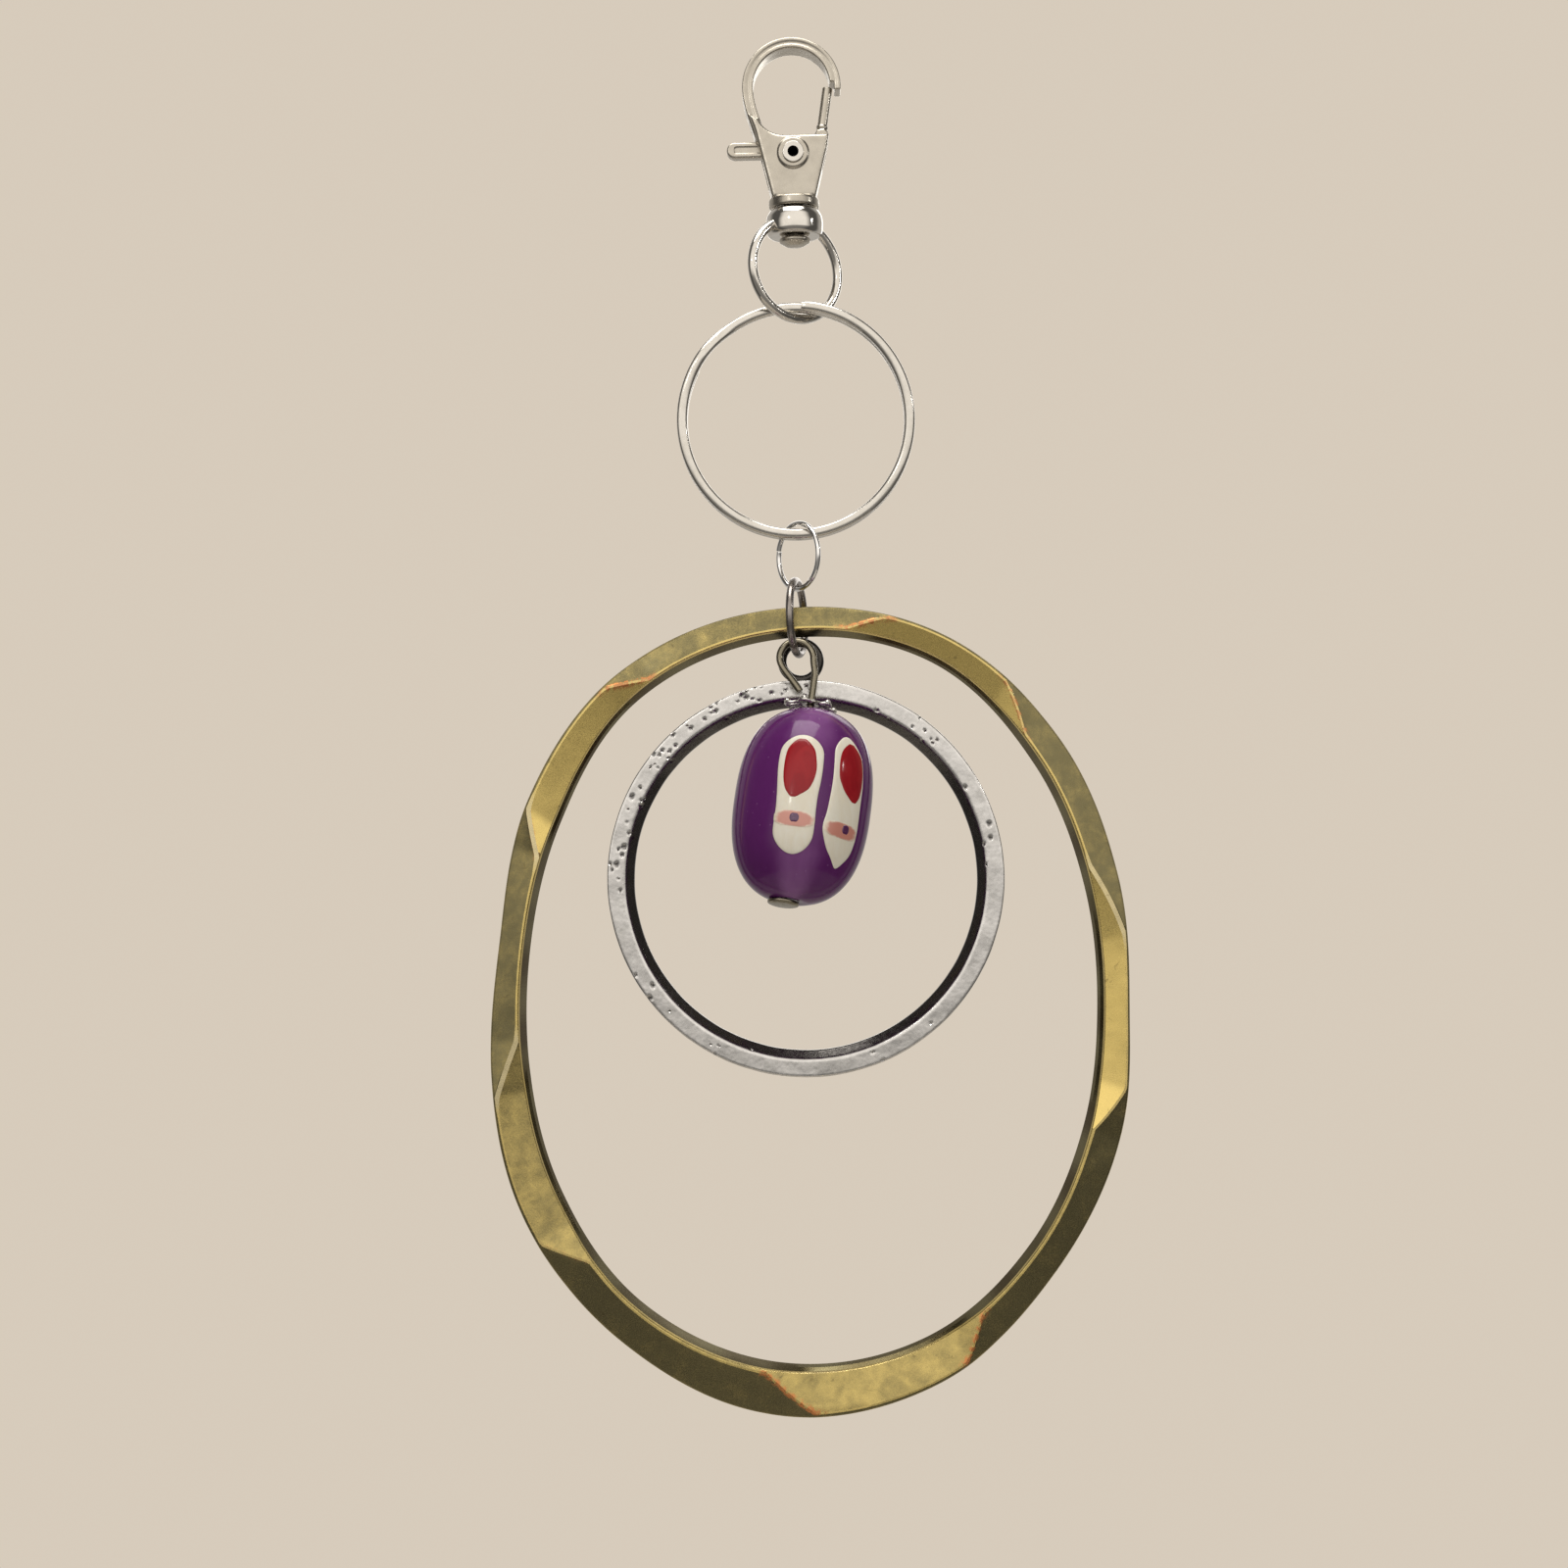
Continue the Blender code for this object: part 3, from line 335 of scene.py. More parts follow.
class Finish(Nodes):
    """A Principled material and short ways to add the nodes that vary it."""

    def __init__(self, name, **sockets):
        self.material = bpy.data.materials.new(name)
        self.material.use_nodes = True
        super().__init__(self.material.node_tree)
        self.shader = self.tree.nodes["Principled BSDF"]
        for socket, value in sockets.items():
            self.shader.inputs[socket.replace("_", " ")].default_value = value

    def place(self, source="Object", stretch=(1.0, 1.0, 1.0)):
        """Coordinates in millimetres, divided by a stretch along each axis."""
        scale = 1.0 / MM if source == "Object" else 1.0
        output = self.add("TexCoord").outputs[source]
        factors = tuple(scale / s for s in stretch)
        return self.add("VectorMath", {0: output, 1: factors}, operation='MULTIPLY').outputs[0]

    def noise(self, vector, scale, detail=3.0, rough=0.55, warp=0.0):
        """Noise with features about 1 / scale millimetres across."""
        inputs = {"Vector": vector, "Scale": scale, "Detail": detail, "Roughness": rough,
                  "Distortion": warp}
        return self.add("TexNoise", inputs).outputs["Fac"]

    def cells(self, vector, scale):
        return self.add("TexVoronoi", {"Vector": vector, "Scale": scale}).outputs["Distance"]

    def sway(self, value, reach):
        """A noise value as an offset to both sides of zero."""
        return self.times(self.maths('SUBTRACT', value, 0.5), reach)

    def clouds(self, vector, scale, detail, low, high):
        """Cloudy change between two values."""
        return self.ramp(self.noise(vector, scale, detail), 0.3, 0.7, low, high)

    def mix(self, amount, a, b):
        """Mix of two colours."""
        node = self.add("Mix", data_type='RGBA')
        self.put(node.inputs[0], amount)
        for index, value in ((6, a), (7, b)):
            if not isinstance(value, bpy.types.NodeSocket):
                value = (*value, 1.0)
            self.put(node.inputs[index], value)
        return node.outputs[2]

    def painted(self, channel):
        """One channel of the finish that the mesh carries at its face corners; in places it is
        painted shade or painted highlight.
        """
        output = self.add("Attribute", attribute_name="finish").outputs["Color"]
        return self.add("SeparateColor", {0: output}).outputs[channel]

    def end(self, base, rough, *layers):
        """Set base colour, roughness and bump layers of (height, depth in millimetres)."""
        self.put(self.shader.inputs["Base Color"], base)
        self.put(self.shader.inputs["Roughness"], rough)
        normal = None
        for height, depth in layers:
            inputs = {"Height": height, "Distance": depth * MM, "Strength": 1.0}
            if normal is not None:
                inputs["Normal"] = normal
            normal = self.add("Bump", inputs).outputs[0]
        self.put(self.shader.inputs["Normal"], normal)
        return self.material


def faded(colour, share):
    return tuple(share * c for c in colour)


METAL = {"Metallic": 1.0, "IOR": 2.5}
CLEAR_SKIN = {"IOR": 1.52, "Coat_Weight": 1.0, "Coat_Roughness": 0.03}


def plated(name, bright, dull, rough, grain, waves, scratch, hollows=None, painted_shade=False):
    """Plated or bare metal: cloudy tarnish, fine scratches, casting grain and dark hollows, and
    painted shade from the mesh where asked.
    """
    finish = Finish(name, **METAL)
    where = finish.place()
    tarnish = finish.ramp(finish.noise(where, 0.45, 4.0, 0.6, 0.4), 0.38, 0.68)
    specks = finish.ramp(finish.noise(where, 5.0, 2.0), 0.60, 0.72)
    lines = finish.noise(finish.place(stretch=(0.10, 0.10, 3.0)), 1.0, 2.0)
    crossed = finish.noise(finish.place(stretch=(2.5, 0.12, 0.09)), 1.0, 2.0)
    scratches = finish.maths('MAXIMUM', finish.ramp(lines, 0.58, 0.70),
                             finish.ramp(crossed, 0.62, 0.72))
    base = finish.mix(finish.times(tarnish, 0.45), bright, dull)
    base = finish.mix(finish.times(specks, 0.10), base, faded(dull, 0.55))
    if hollows:
        convex = finish.ramp(finish.add("NewGeometry").outputs["Pointiness"], *hollows)
        base = finish.mix(convex, faded(dull, 0.30), base)
    if painted_shade:
        # Painted shade: the mesh's painted channel turns the metal near black and takes away its
        # shine.
        shade_amount = finish.painted(0)
        unshaded = finish.maths('SUBTRACT', 1.0, shade_amount)
        base = finish.mix(shade_amount, base, (0.030, 0.027, 0.023))
        finish.put(finish.shader.inputs["Metallic"], unshaded)
        finish.put(finish.shader.inputs["Specular IOR Level"], finish.times(unshaded, 0.5))
    value = finish.plus(finish.clouds(where, 1.3, 3.0, *rough),
                        finish.times(scratches, scratch * 0.10))
    return finish.end(base, value, (finish.noise(where, 0.55, 1.0), waves),
                      (finish.noise(where, 7.0, 2.0), grain), (scratches, -0.002 * scratch))


def drawn_wire(name, bright, dull, rough, line=0.004, shade_colour=None):
    """Drawn wire: faint lines along its length, cloudy tarnish and tiny nicks, and a painted shade
    colour where the mesh asks for it.
    """
    finish = Finish(name, **METAL)
    where = finish.place()
    lines = finish.noise(finish.place("UV", (6.0, 0.05, 1.0)), 1.0, 2.0)
    tarnish = finish.ramp(finish.noise(where, 0.6, 4.0, 0.6), 0.35, 0.68)
    nicks = finish.ramp(finish.noise(finish.place("UV", (0.12, 0.35, 1.0)), 1.0, 1.0), 0.70, 0.78)
    base = finish.mix(finish.times(tarnish, 0.4), bright, dull)
    base = finish.mix(finish.times(nicks, 0.2), base, faded(dull, 0.5))
    if shade_colour:
        # Painted shade: where the mesh's painted channel asks, the wire takes the shade colour.
        base = finish.mix(finish.painted(0), base, shade_colour)
    value = finish.plus(finish.clouds(where, 1.5, 3.0, *rough),
                        finish.ramp(lines, 0.45, 0.75, 0.0, 0.08))
    return finish.end(base, value, (finish.noise(where, 0.9, 1.0), 0.004), (lines, line),
                      (nicks, -0.002))


def glass(name, colour, streak, sub, spots):
    """Opaque lampwork glass with faint streaks, under a clear glossy skin."""
    finish = Finish(name, IOR=1.40, Coat_Weight=0.3, Coat_Roughness=0.04,
                    Specular_IOR_Level=0.25, Subsurface_Weight=sub, Subsurface_Scale=0.0012,
                    Subsurface_Radius=(1.0, 0.7, 0.5))
    where = finish.place()
    pull = finish.place(stretch=(1.0, 1.0, 3.0))
    milk = finish.ramp(finish.noise(pull, 0.8, 3.0, 0.6, 0.8), 0.35, 0.70)
    base = finish.mix(finish.times(milk, 0.6), colour, streak)
    dots = finish.ramp(finish.cells(where, 2.2), 0.10, 0.04)
    base = finish.mix(finish.times(dots, spots), base, faded(streak, 0.6))
    return finish.end(base, finish.clouds(where, 1.0, 2.0, 0.10, 0.22),
                      (finish.noise(where, 0.35, 1.0), 0.03),
                      (finish.noise(where, 2.5, 2.0), 0.004))


# --- materials -----------------------------------------------------------------------------

def hoop_material():
    """Antique brass: olive patina, facets painted bright and dark as painted reflections with
    rubbed wear, copper where the ridges are worn through, painted highlights on the ridge strips
    and inner rim.
    """
    finish = Finish("hoop_antique_brass", **METAL)
    where = finish.place()
    lit_and_rubbed = finish.painted(0)
    copper = finish.painted(1)
    strip = finish.painted(2)
    grain = finish.noise(where, 6.0, 3.0, 0.7)
    cloud = finish.noise(where, 0.5, 4.0, 0.6, 0.3)
    amount = finish.plus(finish.plus(lit_and_rubbed, finish.sway(cloud, 0.7)), finish.sway(grain, 0.5))
    # Painted reflection: facets painted from dark olive to bright gold by their painted light, with
    # cloudy and grainy wear.
    base = finish.mix(finish.ramp(amount, 0.0, 1.0), (0.19, 0.165, 0.085), (0.86, 0.66, 0.23))
    worn = finish.times(copper, finish.ramp(finish.noise(where, 1.6, 4.0, 0.7), 0.30, 0.62))
    base = finish.mix(finish.ramp(worn, 0.15, 0.75), base, (0.66, 0.27, 0.10))
    # Painted highlight: whitish ridge strips and inner rim.
    base = finish.mix(finish.times(strip, 0.6), base, (0.72, 0.66, 0.48))
    # The inner wall is painted dark.
    base = finish.mix(finish.ramp(lit_and_rubbed, -0.2, -0.7), base, (0.10, 0.075, 0.035))
    stains = finish.ramp(finish.noise(where, 1.1, 5.0, 0.7, 1.0), 0.60, 0.74)
    base = finish.mix(finish.times(stains, 0.55), base, (0.13, 0.10, 0.05))
    value = finish.maths('SUBTRACT', finish.ramp(grain, 0.3, 0.7, 0.24, 0.36),
                         finish.times(strip, 0.10))
    return finish.end(base, value, (finish.noise(where, 0.30, 1.0), 0.05), (grain, 0.006))


def ring_material():
    """Cast silver plate: pitted, bright in front, tarnished in the pits, with painted shade on the
    inner chamfer.
    """
    finish = Finish("ring_cast_silver", **METAL)
    where = finish.place()
    cloud = finish.ramp(finish.noise(where, 0.55, 4.0, 0.65, 0.5), 0.38, 0.66)
    base = finish.mix(finish.times(cloud, 0.5), (0.74, 0.725, 0.71), (0.54, 0.53, 0.51))
    specks = finish.ramp(finish.noise(where, 3.2, 3.0, 0.7), 0.62, 0.70)
    base = finish.mix(finish.times(specks, 0.28), base, (0.30, 0.29, 0.28))
    # Pit tarnish, and painted shade on the inner chamfer.
    base = finish.mix(finish.painted(0), base, (0.07, 0.065, 0.06))
    return finish.end(base, finish.clouds(where, 1.4, 3.0, 0.16, 0.30),
                      (finish.noise(where, 0.6, 2.0), 0.04), (finish.noise(where, 3.0, 2.0), 0.004))


def bead_material():
    """Deep violet glass, a little milky, with a paler streak down the front and the back."""
    finish = Finish("bead_purple_glass", IOR=1.40, Coat_Weight=0.25, Coat_Roughness=0.05,
                    Subsurface_Weight=0.25, Subsurface_Scale=0.003,
                    Subsurface_Radius=(0.8, 0.35, 1.0), Specular_IOR_Level=0.20)
    where = finish.place()
    milk = finish.noise(finish.place(stretch=(1.0, 1.0, 5.0)), 0.30, 3.0, 0.6, 0.5)
    amount = finish.ramp(finish.plus(finish.painted(0), finish.sway(milk, 0.6)), 0.0, 1.0)
    base = finish.mix(amount, (0.105, 0.016, 0.125), (0.25, 0.10, 0.28))
    bubbles = finish.ramp(finish.cells(where, 0.75), 0.09, 0.05)
    base = finish.mix(finish.times(bubbles, 0.35), base, (0.34, 0.16, 0.36))
    return finish.end(base, finish.clouds(where, 0.8, 2.0, 0.10, 0.20),
                      (finish.noise(where, 0.16, 1.0), 0.10),
                      (finish.noise(where, 1.5, 2.0), 0.003))


CREAM = (0.83, 0.76, 0.62)


def strap_material():
    """Pink glass that melts into the cream glass around it."""
    finish = Finish("strap_pink_glass", **CLEAR_SKIN)
    where = finish.place()
    depth = finish.plus(finish.painted(0), finish.sway(finish.noise(where, 1.6, 3.0, 0.6), 0.6))
    base = finish.mix(finish.ramp(depth, 0.0, 0.5), CREAM, (0.62, 0.26, 0.20))
    return finish.end(base, finish.clouds(where, 1.0, 2.0, 0.10, 0.22),
                      (finish.noise(where, 1.2, 2.0), 0.01))


def dot_material():
    """Violet dot with a pale pink heart."""
    finish = Finish("dot_violet_glass", **CLEAR_SKIN)
    where = finish.place()
    depth = finish.plus(finish.painted(0), finish.sway(finish.noise(where, 3.0, 2.0), 0.5))
    base = finish.mix(finish.ramp(depth, 0.0, 0.28), (0.58, 0.24, 0.22), (0.085, 0.016, 0.085))
    base = finish.mix(finish.ramp(depth, 1.02, 1.20), base, (0.45, 0.24, 0.36))
    return finish.end(base, finish.clouds(where, 1.0, 2.0, 0.10, 0.20),
                      (finish.noise(where, 2.0, 2.0), 0.008))


satin_nickel = plated("clasp_satin_nickel", (0.54, 0.50, 0.43), (0.41, 0.375, 0.32), (0.24, 0.34),
                      0.0012, 0.008, 0.3, (0.42, 0.50))
rivet_nickel = plated("rivet_polished_nickel", (0.70, 0.67, 0.62), (0.56, 0.53, 0.48),
                      (0.14, 0.22), 0.001, 0.004, 0.3, painted_shade=True)
swivel_nickel = plated("swivel_polished_nickel", (0.72, 0.69, 0.64), (0.58, 0.55, 0.50),
                       (0.06, 0.14), 0.001, 0.02, 0.3)
spring_steel = drawn_wire("spring_steel_wire", (0.46, 0.46, 0.47), (0.30, 0.29, 0.28), (0.22, 0.34))
ring_steel = drawn_wire("split_ring_nickel", (0.70, 0.67, 0.62), (0.55, 0.52, 0.46), (0.10, 0.20),
                        0.005)
bright_silver = drawn_wire("jump_ring_silver", (0.90, 0.89, 0.88), (0.80, 0.78, 0.76),
                           (0.04, 0.09), 0.001)
dark_steel = drawn_wire("jump_ring_dark", (0.33, 0.30, 0.28), (0.20, 0.18, 0.165), (0.18, 0.30),
                        0.004)
# The last colour is the painted shade of the pin's head disc.
pin_steel = drawn_wire("pin_satin_steel", (0.60, 0.57, 0.51), (0.42, 0.39, 0.34), (0.16, 0.26),
                       0.002, (0.24, 0.215, 0.16))
cap_silver = plated("cap_cast_silver", (0.66, 0.64, 0.61), (0.40, 0.37, 0.33), (0.20, 0.34), 0.010,
                    0.03, 0.8, (0.40, 0.52))
brass = hoop_material()
cast_silver = ring_material()
purple_glass = bead_material()
white_glass = glass("slipper_white_glass", CREAM, (0.88, 0.84, 0.74), 0.15, 0.25)
red_glass = glass("insole_red_glass", (0.29, 0.008, 0.014), (0.38, 0.015, 0.02), 0.0, 0.4)
pink_glass = strap_material()
violet_glass = dot_material()


# --- clasp ---------------------------------------------------------------------------------

LINK_GAP = 0.12
RUNNING_GAP = 0.08
SLOT_GAP = 0.15
SEAT_GAP = 0.20
HOOK_R = 4.7
HOOK_BAND = 1.35
HOOK_DEPTH = 3.2
NOSE_LIP = 0.80
HOUSING_DEPTH = 4.4
HALF_FOOT = 2.65
HOOK_Z = -HOOK_R
HOOK_OUTER_R = HOOK_R + HOOK_BAND
HOUSING_TOP_Z = HOOK_Z - 6.0
PIVOT = Vector((0.0, 0.0, HOOK_Z - 8.3))
FOOT_Z = HOOK_Z - 13.7
SLOT_FLOOR_Z = HOOK_Z - 12.2
PIVOT_BOSS_R = 1.9
PIVOT_BOSS_FACE = 0.5 * HOUSING_DEPTH + 0.25
PIVOT_BORE = [(1.08, -4.4), (1.08, 4.4)]
COLLAR_R = 3.1
COLLAR_BOTTOM_Z = FOOT_Z - 1.0
SHANK_R = 1.2
PEEN_R = 1.9
PEEN_HEIGHT = 1.05
LEVER_THICKNESS = 1.5
GATE_R = 0.62
TAB_HEIGHT = 1.95
TAB_REACH = 8.1
TAB_RISE = 0.85
HUB_R = 1.5
BOSS_R = 3.5
BOSS_HEIGHT = 3.2
BOSS_TOP_Z = COLLAR_BOTTOM_Z - SEAT_GAP
BOSS_BOTTOM_Z = BOSS_TOP_Z - BOSS_HEIGHT


def hook_band():
    """The bent band, with a slightly hollow front edge between its two rims."""
    mid_r = HOOK_R + 0.5 * HOOK_BAND
    foot = Vector((-HALF_FOOT - 1.15, 0.0, HOUSING_TOP_Z - 0.6))
    shoulder = Vector((-mid_r, 0.0, HOOK_Z))
    points = [foot] + bezier(foot, foot + Vector((-0.55, 0.0, 2.2)), shoulder - UP * 2.4,
                             shoulder, 16)
    nose_angle = -math.degrees(math.asin(0.45 / mid_r))
    points += [Vector((x, 0.0, z)) for x, z in arc(0.0, HOOK_Z, mid_r, 180.0, nose_angle, 60)[1:]]
    w = 0.5 * HOOK_BAND - 0.005
    d = 0.5 * HOOK_DEPTH
    section = rounded([(-w, -d + 0.05), (-0.5 * w, -d), (0.0, -d + 0.16), (0.5 * w, -d),
                       (w, -d + 0.05), (w, d), (-w, d)], 0.25, 3)
    sections = []
    for i, point in enumerate(points):
        ahead = (points[min(i + 1, len(points) - 1)] - points[max(i - 1, 0)]).normalized()
        across = Vector((ahead.z, 0.0, -ahead.x))
        sections.append([point + across * a + BACK * b for a, b in section])
    return loft(sections, False)


def build_clasp_body():
    left_x = -HALF_FOOT - 2.0
    outline = [(-HALF_FOOT, FOOT_Z), (-HALF_FOOT - 0.85, FOOT_Z + 3.6),
               (left_x + 0.05, HOUSING_TOP_Z + 0.5), (left_x - 0.65, HOUSING_TOP_Z + 2.6)]
    outline += arc(-1.05, HOUSING_TOP_Z + 3.4, 3.4, 205.0, 270.0, 16)
    outline += [(4.45, HOUSING_TOP_Z), (4.10, HOUSING_TOP_Z - 1.9), (HALF_FOOT, FOOT_Z)]
    half = 0.5 * HOUSING_DEPTH
    body = as_object("clasp_casting", prism(outline, half, 0.42))
    face = PIVOT_BOSS_FACE
    boss = [(1.2, -face), (PIVOT_BOSS_R - 0.18, -face), (PIVOT_BOSS_R, -face + 0.15),
            (PIVOT_BOSS_R, face - 0.15), (PIVOT_BOSS_R - 0.18, face), (1.2, face)]
    groove = [(1.36, -face - 0.2), (1.58, -face - 0.2), (1.50, -face + 0.16), (1.44, -face + 0.16)]
    back_groove = [(r, -h) for r, h in reversed(groove)]
    top_z = FOOT_Z + SEAT_GAP
    peen_top = BOSS_BOTTOM_Z - SEAT_GAP
    shank = rounded([(0.1, top_z), (COLLAR_R, top_z), (COLLAR_R, COLLAR_BOTTOM_Z),
                     (SHANK_R, COLLAR_BOTTOM_Z)], 0.30, 4, False)
    shank += [(SHANK_R, peen_top + 0.02)]
    shank += rounded([(SHANK_R, peen_top), (PEEN_R, peen_top), (PEEN_R, peen_top - 0.5),
                      (0.55 * PEEN_R, peen_top - 0.92 * PEEN_HEIGHT),
                      (0.1, peen_top - PEEN_HEIGHT)], 0.2, 4, False)
    ceiling = PIVOT.z + TAB_RISE + 0.5 * TAB_HEIGHT + SEAT_GAP
    above = HOUSING_TOP_Z + 1.2
    slot = [(-9.0, SLOT_FLOOR_Z), (HALF_FOOT - 0.7, SLOT_FLOOR_Z),
            (HALF_FOOT - 0.7, SLOT_FLOOR_Z + 1.9), (9.0, PIVOT.z - 0.4), (9.0, above),
            (-0.6, above), (-0.6, ceiling), (-9.0, ceiling)]
    notch_x = HOOK_OUTER_R - NOSE_LIP
    notch = [(notch_x - 4.0, HOOK_Z - 3.0), (notch_x, HOOK_Z - 3.0), (notch_x, HOOK_Z + 0.5),
             (notch_x - 4.0, HOOK_Z + 0.5)]
    creases = []
    for side in (-1.0, 1.0):
        points = [Vector((-0.15 - 0.25 * t, side * (half + 0.52 - 0.14 * math.sin(math.pi * t)),
                          PIVOT.z - 1.4 - 4.2 * t)) for t in (0.0, 0.2, 0.4, 0.6, 0.8, 1.0)]
        creases.append(tube(points, 0.70, 24, side=RIGHT))
    combine(body, [hook_band(), lathe(boss, 64, PIVOT, 'Y', True), lathe(shank, 64, solid=True)],
            [prism(slot, 0.5 * LEVER_THICKNESS + SLOT_GAP),
             lathe(PIVOT_BORE, 48, PIVOT, 'Y', True), lathe(groove, 64, PIVOT, 'Y'),
             lathe(back_groove, 64, PIVOT, 'Y'), prism(notch, HOOK_DEPTH)] + creases)
    soften(body, 0.085, 4)
    place_piece(body, satin_nickel, "clasp", "clasp_body", "satin_nickel", 60.0)


def build_lever():
    low = TAB_RISE - 0.5 * TAB_HEIGHT
    high = TAB_RISE + 0.5 * TAB_HEIGHT
    points = arc(-TAB_REACH + 0.5 * TAB_HEIGHT, TAB_RISE, 0.5 * TAB_HEIGHT, 90.0, 270.0, 24)
    points += [(-HUB_R - 0.1, low)] + arc(0.0, 0.0, HUB_R, 215.0, 330.0, 20)
    points += [(3.15, 0.7), (4.3, 1.7), (4.38, 2.9), (3.9, 3.35), (3.0, 3.2), (2.4, 2.0),
               (1.2, high - 0.15), (0.0, high)]
    outline = [(PIVOT.x + x, PIVOT.z + z) for x, z in points]
    lever = as_object("lever_casting", prism(outline, 0.5 * LEVER_THICKNESS, 0.22))
    foot = PIVOT + Vector((3.55, 0.0, 2.75))
    tip = Vector((HOOK_OUTER_R - NOSE_LIP - GATE_R - SEAT_GAP, 0.0, HOOK_Z + 0.5 - 2.0 * SEAT_GAP))
    gate = tube([foot, foot.lerp(tip, 0.5), tip], GATE_R, 40)
    ring = lathe([(0.66, 0.0), (0.74, 0.08), (0.74, 0.30), (0.66, 0.38), (0.3, 0.38), (0.3, 0.0)],
                 40)
    turn = (tip - foot).to_track_quat('Z', 'Y').to_matrix().to_4x4()
    ring.transform(Matrix.Translation(foot + (tip - foot).normalized() * 0.62) @ turn)
    pocket = [(-TAB_REACH + 0.85, TAB_RISE + 0.45), (-TAB_REACH + 0.85, TAB_RISE - 0.45),
              (-2.6, TAB_RISE - 0.45), (-2.6, TAB_RISE + 0.45)]
    pocket = rounded([(PIVOT.x + x, PIVOT.z + z) for x, z in pocket], 0.4)
    front = prism(pocket, 0.10)
    front.transform(Matrix.Translation((0.0, -0.5 * LEVER_THICKNESS, 0.0)))
    combine(lever, [gate, ring], [front, lathe(PIVOT_BORE, 48, PIVOT, 'Y', True)])
    soften(lever, 0.075, 3)
    place_piece(lever, satin_nickel, "lever", "clasp_lever", "satin_nickel", 60.0)


def build_rivet():
    face = PIVOT_BOSS_FACE + RUNNING_GAP
    top = face + 0.28
    rim = rounded([(0.68, -top), (1.30, -top), (1.30, -face), (1.0, -face)], 0.13, 5, False)
    mirrored = [(r, -h) for r, h in reversed(rim)]
    profile = rim + mirrored
    # The bore is painted as shade.
    shade = [1.0 if r < 0.72 else 0.0 for r, _ in profile]

    def finish(row, corner_row, column, corner):
        """Painted shade in the bore."""
        return grey(min(shade[column], shade[(column + 1) % len(profile)]))

    rivet = as_object("rivet_tube", lathe(profile, 72, PIVOT, 'Y', colour=finish))
    place_piece(rivet, rivet_nickel, "clasp", "lever_rivet", "polished_nickel", 35.0)


SPRING_X = -2.35
SPRING_COIL_R = 0.42
SPRING_WIRE_R = 0.11
SPRING_TURNS = 4


def build_spring():
    foot = SLOT_FLOOR_Z + RUNNING_GAP
    low = foot + SPRING_WIRE_R
    high = PIVOT.z + TAB_RISE - 0.5 * TAB_HEIGHT - SPRING_WIRE_R - RUNNING_GAP
    steps = 24 * SPRING_TURNS
    points = []
    for i in range(steps + 1):
        angle = 2.0 * math.pi * i / 24
        points.append(Vector((SPRING_X + SPRING_COIL_R * math.cos(angle),
                              SPRING_COIL_R * math.sin(angle), low + (high - low) * i / steps)))
    spring = as_object("spring_coil", tube(points, SPRING_WIRE_R, 12, side=UP, cap=0.02))
    place_piece(spring, spring_steel, "clasp", "lever_spring", "spring_steel", 50.0)
    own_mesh(spring)


LOOP_WIRE_R = 0.60
LOOP_HALF_WIDTH = 6.99
LOOP_HALF_HEIGHT = 6.65
LOOP_YAW = 35.0
LOOP_RISE = 1.45         # how far up into the boss the oval reaches
LOOP_Z = BOSS_BOTTOM_Z + 2.0 * LOOP_WIRE_R + LOOP_RISE - LOOP_HALF_HEIGHT
LOOP_SEAT_Z = LOOP_Z - LOOP_HALF_HEIGHT + 2.0 * LOOP_WIRE_R


def build_swivel_loop():
    half = 0.5 * BOSS_HEIGHT
    mid = BOSS_TOP_Z - half
    profile = rounded([(1.4, half), (BOSS_R - 0.55, half), (BOSS_R - 0.10, half - 0.75),
                       (BOSS_R, 0.0), (BOSS_R - 0.08, -half + 0.45), (BOSS_R - 0.35, -half),
                       (1.5, -half)], 0.28, 5, False)
    loop = as_object("swivel_eye", lathe([(r, mid + h) for r, h in profile], 96, solid=True))
    across, normal = turned(LOOP_YAW)
    points = []
    count = 144
    for i in range(count):
        angle = 2.0 * math.pi * (i + 0.5) / count
        points.append(across * ((LOOP_HALF_WIDTH - LOOP_WIRE_R) * math.cos(angle))
                      + UP * (LOOP_Z + (LOOP_HALF_HEIGHT - LOOP_WIRE_R) * math.sin(angle)))
    oval = tube(points, LOOP_WIRE_R, 24, True, normal)
    bore_r = SHANK_R + RUNNING_GAP
    bore = lathe([(bore_r, BOSS_BOTTOM_Z - 0.9), (bore_r, BOSS_TOP_Z + 1.0)], 64, solid=True)
    combine(loop, [oval], [bore])
    place_piece(loop, swivel_nickel, "swivel", "swivel_loop", "polished_nickel", 32.0)


# --- rings ---------------------------------------------------------------------------------

SPLIT_R = 14.6
SPLIT_WIRE = 1.30
SPLIT_DEPTH = 1.15
SPLIT_TURN_GAP = 0.10
SPLIT_STEP = (304.0, 328.0)   # clockwise from the top, where the wire crosses to its other turn
SPLIT_X = -0.4
SPLIT_Z = LOOP_SEAT_Z + LINK_GAP - (SPLIT_R - SPLIT_WIRE)
SMALL_R = 4.35
SMALL_WIRE_R = 0.34
SMALL_YAW = -53.0
SMALL = Vector((-0.5, 0.0, -62.036))
LARGE_R = 5.0
LARGE_WIRE_R = 0.50
LARGE_YAW = 78.0
LARGE = Vector((-0.8, 0.0, -69.586))


